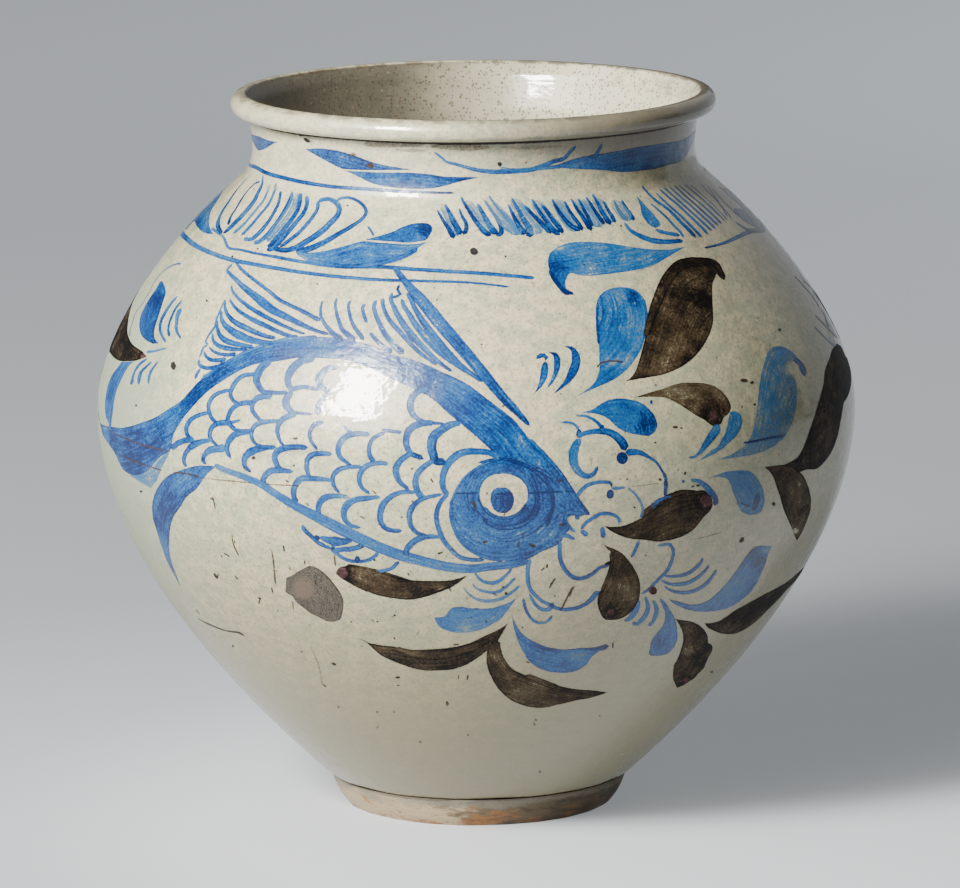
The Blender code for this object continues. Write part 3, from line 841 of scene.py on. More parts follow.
def motif(name, design, **placing):
    # leaves: (edge, edge, load), lines: (points, widths, load), dots: (x, y, half width, half height, tilt, load)
    fade, pool, load = design.get("fade", 0.35), design.get("pool", 0.35), design["load"]
    leafFade, bold, overshoot = design.get("leafFade", 0.15), design.get("bold", 1.0), design.get("overshoot", 0.0)
    strokes = []
    for first, second, *given in design.get("leaves", ()):
        strokes.append((leafEdges(first, second), (given or [load])[0], leafFade, brushKit["leafPool"], False))
    for text, widths, *given in design.get("lines", ()):
        strokes.append((lineEdges(text, widths, bold, overshoot), (given or [load])[0], fade, pool, False))
    for *place, given in design.get("dots", ()):
        strokes.append((dotEdges(*place), given, 0, 0, True))
    paintPiece(name, design["paint"], strokes, design.get("pools", ()), **placing)


# cobalt and iron brushed under the glaze: the load of each stroke sets how dark and how solid it is

brushLook = {
    "cobalt": {"stops": [(0.0, (0.195, 0.268, 0.330)), (0.22, (0.082, 0.176, 0.264)), (0.50, (0.013, 0.080, 0.206)),
                         (0.78, (0.002, 0.034, 0.142)), (1.0, (0.001, 0.010, 0.062))],
               "cover": 0.52, "streak": 0.78, "drift": 0.80, "wetEdge": 0.22, "roughness": 0.075, "relief": 0.00008,
               "finish": {"Specular IOR Level": 0.38}, "sheen": 0.20},
    "iron": {"stops": [(0.0, (0.150, 0.128, 0.078)), (0.30, (0.080, 0.060, 0.034)), (0.52, (0.036, 0.024, 0.013)),
                       (0.80, (0.010, 0.0075, 0.005)), (1.0, (0.003, 0.0025, 0.0022))],
             "cover": 0.42, "streak": 0.60, "drift": 1.25, "wetEdge": 0.50, "roughness": 0.52, "relief": 0.00022,
             "finish": {"Specular IOR Level": 0.08}, "sheen": 0.04,
             "crust": [(0.32, (0.018, 0.009, 0.010)), (0.50, (0.062, 0.028, 0.030)), (0.70, (0.135, 0.072, 0.072))]},
    # the spot paint draws iron spots and scratches, and also the painted shadow under the roll
    "spot": {"stops": [(0.0, (0.09, 0.048, 0.024)), (0.35, (0.05, 0.023, 0.011)), (0.60, (0.016, 0.008, 0.005)),
                       (0.85, (0.006, 0.004, 0.003)), (1.0, (0.003, 0.002, 0.002))],
             "cover": 0.50, "streak": 0.30, "drift": 0.55, "wetEdge": 0.0, "roughness": 0.50, "relief": 0.00025,
             "finish": {"Specular IOR Level": 0.35}, "sheen": 0.10},
    # shared: how uneven each noise makes a load, and ramps over millimetres from the edge, a load, or metres
    "uneven": {"streak": 2.2, "bristle": 0.7, "drift": 2.0, "grit": 2.4, "edge": 0.85},
    "ramps": {"wetIn": (1.7, 0.2), "wetOut": (0.0, 0.3), "mask": (0.0, 0.50), "crust": (1.04, 1.18),
              "coatHeight": (0.06, 0.26, 0.25, 1.0), "roughSide": (-0.155, -0.205, 0, 0.45)},
}


def brushed(wire):
    # the load, the distance from the edge and the place along the stroke
    paint = wire.node("SeparateColor", {}, {0: wire.node("Attribute", {"attribute_name": "paint"})})
    return paint, paint.output(1), wire.node("Attribute", {"attribute_name": "brush"}, out=1)


def makePaint(name, look):
    material, wire, join = newMaterial(name, dict(glassy, **look["finish"]))
    place = wire.node("TexCoord", out=3)
    load, border, brush = brushed(wire)
    streak = brush.stretched((0.75, 0.040, 1.0)).noise(1.0, 4.0, 0.62)
    bristle = brush.stretched((2.6, 0.07, 1.0)).noise(1.0, 2.0, 0.5)
    drift = place.noise(62.0, 4.0, 0.62)
    grit = place.noise(680.0, 4.0, 0.8)
    uneven, ramps = brushLook["uneven"], brushLook["ramps"]
    wet = border.ramp(*ramps["wetIn"]) * border.ramp(*ramps["wetOut"]) * look["wetEdge"]
    striped = (streak - 0.5) * uneven["streak"] + (bristle - 0.5) * uneven["bristle"]
    clouded = (drift - 0.5) * (uneven["drift"] * look["drift"]) + (grit - 0.5) * uneven["grit"]
    density = load * (striped * look["streak"] + clouded + wet + 1.0)
    mask = (border + (place.noise(560.0, 3.0, 0.65) - 0.5) * uneven["edge"]).ramp(*ramps["mask"])
    color = wire.node("ValToRGB", {"stops": look["stops"]}, {0: density})
    sideways = place.node("SeparateXYZ", {}, {0: place})
    rough = grit * 0.08 + sideways.ramp(*ramps["roughSide"]) + look["roughness"]
    height = glazeHeight(place) + density * (look["relief"] / skin["distance"])
    if "crust" in look:
        scab = (load + (grit - 0.5) * 0.5).ramp(*ramps["crust"])
        scale = place.noise(380.0, 4.0, 0.75)
        color = (scab * 0.92).blend(color, wire.node("ValToRGB", {"stops": look["crust"]}, {0: scale}))
        rough = rough + scab * 0.25
        height = height + scab * scale * 1.6
    join("Base Color", color)
    join("Coat Weight", sideways.output(2).ramp(*ramps["coatHeight"]) * look["sheen"])
    join("Alpha", density.ramp(0.02, look["cover"]) * mask)
    join("Roughness", rough)
    join("Normal", bumped(height, skin["strength"], skin["distance"]))
    return material


scarLook = {
    "smooth": (0.150, 0.112, 0.080), "grey": (0.090, 0.080, 0.066), "fibre": (0.165, 0.140, 0.105),
    "dark": (0.012, 0.009, 0.007), "relief": (0.9, 0.0012),
    "ramps": {"web": (0.50, 0.58, 0, 0.75), "pores": (0.10, 0.02, 0, 0.55), "torn": (0.30, 0.65, 0.12, 0.97),
              "fibre": (0.25, 0.70), "mixed": (0.35, 0.65), "dirt": (0.58, 0.72, 0, 0.5), "rim": (0.85, 0.25, 0, 0.9)},
}


def makeScar(name, look):
    # a smooth torn face beside a web of dark fibres, ringed by a dark rim
    material, wire, join = newMaterial(name, {"Specular IOR Level": 0.25})
    place = wire.node("TexCoord", out=3)
    load, border, brush = brushed(wire)
    web = brush.stretched((1.5, 0.42, 1.0)).noise(1.0, 5.0, 0.75, 1.2)
    rough = place.noise(900.0, 4.0, 0.75)
    pores = place.cells(760.0, "DISTANCE_TO_EDGE")
    ramps = look["ramps"]
    fibres = rough.ramp(*ramps["mixed"]).blend(tint(look["grey"]), tint(look["fibre"]))
    join("Base Color", layered(load.ramp(*ramps["fibre"]).blend(tint(look["smooth"]), fibres), [
        ((web.ramp(*ramps["web"]) + pores.ramp(*ramps["pores"])) * load.ramp(*ramps["torn"]), look["dark"]),
        (rough.ramp(*ramps["dirt"]), look["dark"]),
        ((border + (rough - 0.5) * 1.2).ramp(*ramps["rim"]), look["dark"]),
    ]))
    join("Roughness", rough * 0.2 + 0.6)
    join("Normal", bumped(web * 1.5 + rough * 0.8, *look["relief"]))
    return material


cobalt = makePaint("cobaltWash", brushLook["cobalt"])
iron = makePaint("ironSlip", brushLook["iron"])
ironSpotAndShadow = makePaint("ironSpotAndShadow", brushLook["spot"])
kilnScar = makeScar("kilnScar", scarLook)
print("brush paints ready")


# band round the neck

neckBand = dict(paint=cobalt, load=0.62, fade=0.3, pool=0.2, bold=1.2, leaves=[
    ("@-92:407 @-82:406.8 263,136 270,139 280,141 289,140.5", "@-92:402 @-82:401.5 262,150.5 268,149 275,145 281,142 289,140.5",
     0.72),
    ("307.5,148.5 322,147.4 333,148.6 343,150.4 352,153 362,156.5 372,160.5 382,163.3 392,165.4 402,167 418,169.4",
     "307.5,148.5 315,153 324,158.3 334,163.5 342,168 355,169.6 370,170 390,170 418,169.4", 0.78),
    ("345,169.5 360,170.6 380,171.4 400,171.6 417,172 430,173.5 445,175.5 460,176 472,176 485,176.5",
     "345,169.5 356,174.5 367,180.5 378,184.5 390,187 403,188.3 420,188.8 435,188 448,185 458,182 468,179.5 478,177.5 "
     "485,176.5", 0.7),
    ("549,166 560,162 575,157 590,154 610,151 630,147 650,144 668,141.5 678,139.5 @81:406.5 @95:404",
     "549,167 565,168 580,169 600,170 620,172 635,171 652,169 666,165 677,162 @81:400 @95:402", 0.66),
], lines=[
    ("@-100:386 @-86:387 259,167.5 268,172.5 285,177.5 305,182 335,186.5 365,188.5 394,190.5 430,192 455,192.5",
     "2 2.2 2.6 2.4 2 1"),
    ("434,151 440,155 447,161 456,163.5 466,166.5 478,169.5 490,171 503,171 515,170.5 530,169 543,164.5 553,160.5 562,158.5",
     "1 2 3 2.8 2.5", 0.55),
    ("499,167 510,169 530,168.5 545,167 560,166", "1.5 2 2", 0.5), ("574,145 568,151 561,158.5 556,159", "1.5 2.5", 0.6),
    ("599,142 597,148 592,155 587,157", "1.5 2.2", 0.6),
], pools=[
    (671, 149, 2.5, -0.5), (677, 147, 2.5, -0.5), (470, 184, 9, 0.12), (330, 160, 9, 0.1),
])

# a fan of curls and a long leaf on the left of the shoulder

shoulderLeft = dict(paint=cobalt, load=0.72, fade=0.35, pool=0.30, bold=1.40, leaves=[
    ("228,182 218,190 210,198 201,208 195,217 194,222 196,227 200,231 206,234 213,234.5",
     "228,182 223,190 217,200 212,208 209,215 208,222 210,229 213,234.5", 0.56),
    ("366,239 375,237 385,234 395,230.5 403,226.5 412,223.5 420,222.8 427,223 432,226 432.5,230 429,234.5",
     "366,240.5 380,241.2 395,242.2 408,243 418,242 427,239.5 430,235", 0.62),
    ("296,252 310,252.5 325,250.5 340,247 352,243.5 362,241 375,242 390,243.2 405,244 418,243.5 428,241.5",
     "296,252 306,258 318,262.5 332,265 347,266.8 362,266 378,263.5 394,260 407,255 418,248.5 428,241.5", 0.6),
], lines=[
    ("249,177 243,183 237,189 231,197 226,204 221,212 218,219 217,225 218,229 221,233.5", "1.2 2.6 3 2"),
    ("261,182 255,184 248,190 241,199 236,207 231,215 228,221 228,225", "1.3 2.2"),
    ("265,174 264,180 262,186 258,193 253,201 247,209 241,216 235,222 228,229 222,233.5", "1 3 2"),
    ("271,184 268,191 263,200 257,208 251,215 245,222 239,228 232,234", "1.4", 0.45),
    ("277,183 275,191 271,199 266,207 260,214 254,221 248,228 240,236", "1.5", 0.5),
    ("243,238 247,239.5 251,239 256,235 262,229 268,221 273,213 277,205 280,197 281,191", "2.5 1.5"),
    ("253,241.5 257,242.5 261,240 267,234 273,227 279,218 285,208 290,199 293,193", "2.5 1.8"),
    ("293,191 291,200 287,208 281,217 274,226 268,234 264,241", "1.6", 0.5),
    ("297,193 296,201 292,210 287,218 280,227 273,235 266,242", "4", 0.34),
    ("301,193 300,202 296,212 290,221 283,230 276,238 270,245 266,246", "2.4"),
    ("307,196 307,204 303,213 297,221 290,229 283,237 276,245 271,249 266,249", "2.2 3"),
    ("318,201 317,209 312,217 306,225 299,232 292,238 285,243 279,247", "2"),
    ("318,202 322,200 328,199 334,201 338,205 339,210 336,217 331,222 324,229 315,236 305,242 297,247 288,250 273,249",
     "2 3.5 3"),
    ("336,201 341,198.5 348,197.5 355,199 361,203 365,208 366,213 362,219 355,224 347,229 338,234 328,240 316,246 305,250 "
     "295,252", "1.3 2 4"),
    ("367,226 371,231 374,237", "1"),
    ("296,252 306,258 318,262.5 332,265 347,266.8 362,266 378,263.5 394,260 407,255 418,248.5", "2.4", 0.55),
], pools=[
    (426, 228, 7, 0.75), (418, 235, 3, -0.3), (352, 262, 12, 0.15), (198, 222, 6, 0.2),
])

# the two thin rings under the fans run on round the back

shoulderRings = dict(paint=cobalt, load=0.56, fade=0.3, pool=0.1, bold=1.25, lines=[
    ("@-71:356 @-62:353.5 228,248 240,250 253,253 275,257 303,262 340,266.5 380,267 410,269 450,271.5 490,274 535,278",
     "1.5 1.5 2.5 2.3 2"),
    ("@-150:352 @-130:353 @-112:353 @-96:352 181,229 182,234 185,238 197,247 213,254 231,260 262,266 305,273 340,277 380,280 "
     "420,281 475,283 510,287", "3.2 3.4 3 2.8 2.2 1"),
    ("@112:346 @98:347 763,230 752,231 740,236 727,242 714,246 704,248", "3.5 4 2.5 1", 0.7),
    ("@178:350 @160:352 @140:350 @122:348 @108:345", "1.5 3 3 1.5"),
    ("@-178:343 @-160:345 @-140:344 @-120:346 @-104:345", "1.2 2.4 2.6 1.2", 0.5),
])

# lappets: a row of short hanging strokes along the middle of the shoulder

lappets = dict(paint=cobalt, load=0.78, fade=0.42, pool=0.55, lines=[
    ("442,204 449,216 455,228 458,236", "5 8 8", 0.3), ("466,200 475,213 484,226 491,234", "6 10 12", 0.3),
    ("487,198 497,211 509,225 521,234", "7 11 9", 0.3), ("513,198 522,212 532,225 541,233", "8 12 14", 0.3),
    ("534,200 543,213 552,225 559,233", "8 12 12", 0.3), ("555,199 563,211 571,223 580,230", "9 12 11", 0.3),
    ("577,198 585,209 593,219 601,227", "9 11 10", 0.3), ("593,197 601,207 608,216 614,222", "7 9 7", 0.28),
    ("612,200 619,208 626,216 631,220", "8 10 9", 0.28), ("437,209 441,217 446,225 450,231 454,239", "1 4.5"),
    ("445,203 449,212 453,221 457,228 461,235", "1 6"), ("459,208 462,216 466,224 466,230 463,235", "1 4"),
    ("461,196 466,206 472,216 479,225 486,233 491,236", "1.5 4.5"), ("477,203 482,212 487,221 492,229 497,235", "2 5.5"),
    ("484,199 491,210 497,219 501,227 501,233 496,236", "1 4"), ("488,194 496,206 505,216 512,224 519,231 525,235", "1 3"),
    ("508,204 512,213 517,222 522,230 526,234", "1.5 5"), ("511,197 517,208 523,219 529,228 530,234 526,236", "1.5 6"),
    ("524,205 532,214 540,222 547,229 551,234", "2 4.5"), ("531,198 538,210 546,221 553,230 560,235", "1.5 4.5"),
    ("541,204 548,213 555,223 561,230 562,234", "2 4"), ("551,198 556,207 562,216 569,224 580,231", "1.5 4"),
    ("563,200 568,209 574,218 580,226 582,231", "1.5 3.5"), ("570,198 576,208 583,218 589,227 591,231", "1.5 4.5"),
    ("577,198 583,209 589,219 592,227", "1.5 3"), ("584,196 590,204 596,213 601,220 604,225", "1.5 3.5"),
    ("591,193 597,203 602,212 606,219 610,225", "1.5 4.5"), ("602,200 607,209 612,217 615,223", "1.5 3"),
    ("613,200 617,208 622,215 628,221", "1.5 4"), ("620,199 625,207 630,214 634,221", "1.5 4"),
])

# sprays and a curled leaf on the right of the shoulder

shoulderRight = dict(paint=cobalt, load=0.60, fade=0.3, pool=0.3, leaves=[
    ("634,194 640,207 641,213 644,219 649,225 655,228", "634,194 640,200 648,208 655,216 661,224 655,228", 0.66),
    ("688,246 678,248 665,249.5 650,249 632,247 615,244 598,242 580,241.5 567,243 556,248 549,254 547.5,262 549,270 554,279 "
     "559,285.5 563,290.5 569.5,295 574,295",
     "688,246 680,250 672,255 662,261 650,267 637,270 622,272.5 605,274.5 590,276 578,275 570,273 567.5,276.5 565.5,283 "
     "567,289 573,292 574,295", 0.5),
    ("735,208 744,209 754,214 762,222 766,229", "735,212 742,218 750,224 758,228 766,229", 0.66),
], lines=[
    ("624,222 630,230 640,236 650,240 660,241.5 672,241.5 683,240.5", "2 4.5 3"), ("655,230 662,232 672,234 680,235", "3"),
    ("640,185 648,194 656,201 664,206 673,214 681,222 689,230 696,238", "1.2 3"),
    ("650,203 658,210 667,218 674,226 680,232 684,238", "1 2"),
    ("654,192 663,200 672,208 681,216 689,224 696,231 702,238", "1.2 2"),
    ("658,189 668,197 678,205 688,214 697,223 705,231 708,235", "1.2 2"), ("662,187 686,207 712,231", "1 1.8"),
    ("667,186 690,205 716,229", "1 1.8"), ("672,185 695,204 719,226", "1 1.8"), ("677,185 700,203 722,224", "1 1.8"),
    ("683,184 706,202 726,222", "1 1.8"), ("689,184 711,202 729,221", "1 1.8"), ("700,183 718,201 733,219", "1 1.8"),
    ("712,188 726,203 738,215", "1 1.6"), ("708,186 720,203 728,217", "1 1.6"),
    ("736,222 745,228 755,230 762,230", "3 2.5", 0.8), ("549,270 554,279 559,285.5 563,290.5 569.5,295", "2.5 3.5 3", 0.9),
], pools=[
    (571, 293, 5, 0.5), (556, 266, 12, 0.28), (752, 218, 10, 0.25),
])

# small flower at the left, half round the side

sideFlower = dict(paint=cobalt, load=0.62, fade=0.3, pool=0.35, leaves=[
    ("159,281.5 156,287.5 150,296 143,307.5 139,318 138,326 140,335 145.5,341 152,344",
     "161.5,281.5 164.5,288 165,292.5 162,302 159,312 156,321.5 153.5,329.5 153.5,336.5 157.5,343.5", 0.78),
    ("120.5,362 115.5,369 110,377 106.5,386 104.5,397.5 103.5,408 105,417.5 107.5,424 109,438",
     "132.5,361.5 127,367.5 121,378 116.5,388.5 113.5,400 112,410.5 110.5,421 110,429.5 109,438", 0.66),
], lines=[
    ("180,264 175.5,264 169.5,266.5 160.5,273 154.5,280.5 150,288.5 144,299.5 134.5,313.5 131,324 129,331 129,336.5", "1.2"),
    ("176.5,296 171,302.5 165,311 161,319 159,328.5 161,335.5 165,342.5", "1.5 3 1.5"),
    ("181.5,300 176,306.5 171,316 168,324 167.5,331 169,336.5", "1.2 2.5"),
    ("180,308 177,314.5 175.5,324 176,331 180,339", "4 3 1"), ("166,348 159,350 152,351.5 145.5,352", "1.5", 0.4),
    ("146.5,359 139.5,363.5 134,371 131.5,378 130.5,385", "1.5 4.5"),
    ("151.5,361.5 145.5,366.5 139.5,373.5 138,379 138,384.5", "1.2 3.5"),
    ("158,361 153,366.5 148.5,374.5 147.5,380.5 148,384", "1.2 2.5"), ("109,438 109.3,445", "1.2"),
    ("@-96:318 @-92:308 @-90:296 @-92:286", "2 3.5 2"), ("@-101:322 @-98:309 @-97:297 @-100:288", "2 3 1.5"),
    ("@-104:300 @-99:288 @-95:282", "2 3.5"), ("@-108:296 @-103:283 @-97:276", "2 3.5"),
], pools=[
    (153, 301, 6, 0.25), (107, 405, 3, -0.15), (182, 306, 3, 0.4),
])
sideFlowerLeaf = dict(paint=iron, load=0.90, leaves=[
    ("140.5,287 130.5,296 124.5,307.5 117.5,321.5 113,332 110,341 109,348 110,354.5 115,359.5 120,361.5 127,361.5 135,361 "
     "141,359 146.5,357",
     "140.5,287 136,294.5 131.5,304 128.5,314.5 127,324 126.5,331 128,337.5 132,344.5 137.5,348.5 142,352 146.5,357"),
    ("@-88:262 @-92:268 @-98:268 @-105:262 @-112:252", "@-88:262 @-94:258 @-101:253 @-107:250 @-112:252"),
], pools=[
    (143, 357, 4, 0.3),
])


# the fish: back and tail in one loaded sweep, then fins, scales, belly line and head

fishBack = dict(paint=cobalt, load=0.64, leafFade=0.1, leaves=[
    ("@-86:250 98.5,421 103,425 110.5,426.5 119.5,427.5 129.5,426 141.5,422 151.5,418.5 160.5,413.5 169.5,407.5 180,401 "
     "190,390 200,379.5 209.5,374 220,366 236,355.5 259,346 282,340 305.5,337.5 328.5,337 351.5,340 373,345.5 393.5,354.5 "
     "416.5,360.5 439.5,370.5 465.5,382.5 491,401.5 516.5,422 529.5,438.5 547,457 559.5,472 571,489 580.5,503 590,515.5",
     "@-86:247 99.5,425.5 100.5,431.5 103.5,438.5 107.5,444 114.5,455 122,470 128.5,474.5 135,476 142.5,473.5 149,468.5 "
     "160,456.5 169.5,450.5 172,437 178.5,424.5 191.5,407.5 205,393.5 227,378 250,366 277.5,361.5 300,358 322.5,358.5 "
     "346,360.5 368,367.5 388.5,378 411.5,388.5 429.5,397.5 450,415.5 468.5,430.5 487.5,447.5 502,462 520,478 536,492 552,503 "
     "570,512 590,515.5"),
    ("215.5,466 205.5,465.5 196.5,465.5 186,468 177,471 171,473 164.5,477.5 159,483.5 154,492.5 151.5,500 151,509 152,519 "
     "155.5,531 160,546 165.5,560.5 172,573 181.5,591",
     "215.5,466.5 209,472 203,479.5 196.5,488.5 186,497.5 179.5,507.5 172.5,518 169.5,528 168.5,539.5 168.5,551.5 171,563 "
     "176,577 181.5,591", 0.68),
    ("128,475 140,474 152,466 163,455 170,451", "150,488 156,480 160,470 166,458 170,451", 0.3),
], lines=[
    ("529.5,438.5 547,457 559.5,472 571,489 580.5,503 590,515.5", "2 3 2", 0.7),
    ("200,379.5 220,366 247.5,351 282,340 317,337", "2.5", 0.45),
], pools=[
    (185, 398, 14, 0.26), (205, 384, 14, 0.26), (230, 371, 14, 0.22), (255, 361, 10, 0.2), (120, 437, 14, 0.16),
    (540, 470, 20, 0.12), (330, 348, 30, -0.06), (140, 455, 24, 0.2), (168, 438, 18, 0.14), (160, 510, 22, 0.2),
    (178, 484, 9, -0.1), (430, 384, 20, 0.1),
])

fishFins = dict(paint=cobalt, load=0.62, fade=0.3, pool=0.25, bold=1.32, lines=[
    ("234.5,262 241,270 248.5,276.5 259,284.5 269.5,292.5 280,300.5 291.5,306.5 303,312 320.5,321", "1.5 2.5"),
    ("232,263.5 226.5,269.5 229,274 236,280.5 244,288 253.5,295.5 264,304 273,311 284.5,316.5 303,325.5 322.5,333 329.5,334.5",
     "1.2 3 5.5 3.5 1.5"),
    ("230,285.5 231.5,291 236,297 243,303 252.5,310 262.5,315.5 273,321 294,330.5 305.5,334.5", "1 2.8 1.2"),
    ("228.5,299 232,304.5 238.5,311.5 247.5,317.5 258,322.5 268.5,327.5 279,332.5 289,336 298.5,337.5", "1 3 2"),
    ("224.5,299.5 224,306 226.5,314 232.5,321 242,326.5 252.5,331.5 264,336 275.5,338.5", "1.2 3.5 2"),
    ("220.5,310.5 220.5,317.5 223.5,324 230.5,330.5 239.5,336 250,340 261.5,342.5 273,343.5", "1.5 5 2.5"),
    ("216,319 216,326.5 218.5,334.5 223.5,340 232.5,343.5 243,345.5 253.5,347.5", "1.2 3.5 2"),
    ("211.5,333.5 212.5,340.5 216.5,345 224.5,348 236,349.5 247.5,349.5", "1.2 3 1.5"),
    ("207.5,346.5 211.5,351 217.5,353.5 228,355 236,354", "1 2.5"),
    ("202.5,351 204.5,355.5 209,359.5 216.5,360.5 226,359.5", "1.2 3"),
    ("198,359 198.5,364.5 202.5,367.5 211,368 219,366 223.5,363", "1.5 3"), ("200,368.5 196,374.5 194,380", "1.5"),
    ("224.5,299.5 216,319 213.5,327.5 207.5,336 205,342.5 206.5,344.5 202,348.5 200,355.5 198,358.5", "1", 0.45),
    ("322.5,300 320.5,307 320.5,315 324,323 328.5,329 334,334.5 342.5,340.5", "1 2 4"),
    ("336.5,297.5 335,304.5 336,312.5 338.5,321 342,330 347,334.5 355,341.5", "1.2 2.2 4"),
    ("351,300 348.5,304.5 349,312.5 351.5,321 355.5,329 359.5,334.5 364,340.5", "1.5 2.5"),
    ("366,304 363,306 363,312.5 365.5,319.5 367,323.5", "2"),
    ("376.5,300 374,305 375.5,314 379,323 384.5,333.5 392.5,343.5 404,354", "2 4"),
    ("369,332 375.5,339.5 383.5,347.5 392.5,352.5", "1.5 4"),
    ("383.5,297.5 382.5,302.5 384.5,310.5 389.5,320.5 397.5,329.5 406.5,339.5 416.5,350 437,365.5", "2 3 1.5"),
    ("391.5,293.5 391,300 394,307.5 398.5,316.5 405,327 413,337 422,346 432,356.5 452.5,372", "2 4.5 1.5"),
    ("401.5,298.5 404,306.5 409,314 415.5,324.5 424.5,336 434.5,347.5 445,356.5 468,373", "2 4.5 2"),
    ("406.5,292.5 410.5,298.5 414,306.5 420.5,318 429.5,331 439.5,343.5 450,355 461.5,366.5 483.5,382", "2 5 2"),
    ("394,266.5 398.5,273 407.5,284.5 422,301.5 439.5,322.5 457.5,343.5 473,361.5 487,378 504,398.5 518,413 529.5,425.5",
     "3 4 7 8 8 7.5 7 6 5 2", 0.66),
    ("391.5,291.5 392.5,297.5 397.5,296 400,295 397.5,290 399.5,284", "1.5"),
    ("302.5,524.5 304,529.5 310,535.5 315.5,540.5 319,543.5 326,546.5", "2.5 2"), ("316,535 317.5,540.5", "4", 0.9),
    ("319,537 330,540.5 342,541.5 352,540.5", "2 6 2"), ("317.5,541.5 324,546 332.5,548.5", "2"),
    ("332,546.5 333,550.5 341,549.5 351,549 359,547 365.5,543", "3"),
    ("333,550 338,555 346,559.5 355.5,561.5 365,561 374.5,556.5 379,551", "2"),
    ("376,572 384,570.5 392,568 396.5,563.5 399.5,561", "2"),
], dots=[
    (357, 559.5, 3, 4, 0, 0.95), (333, 547, 2.2, 3, 0, 0.9),
], pools=[
    (505, 402, 12, 0.15), (400, 276, 8, 0.1),
])

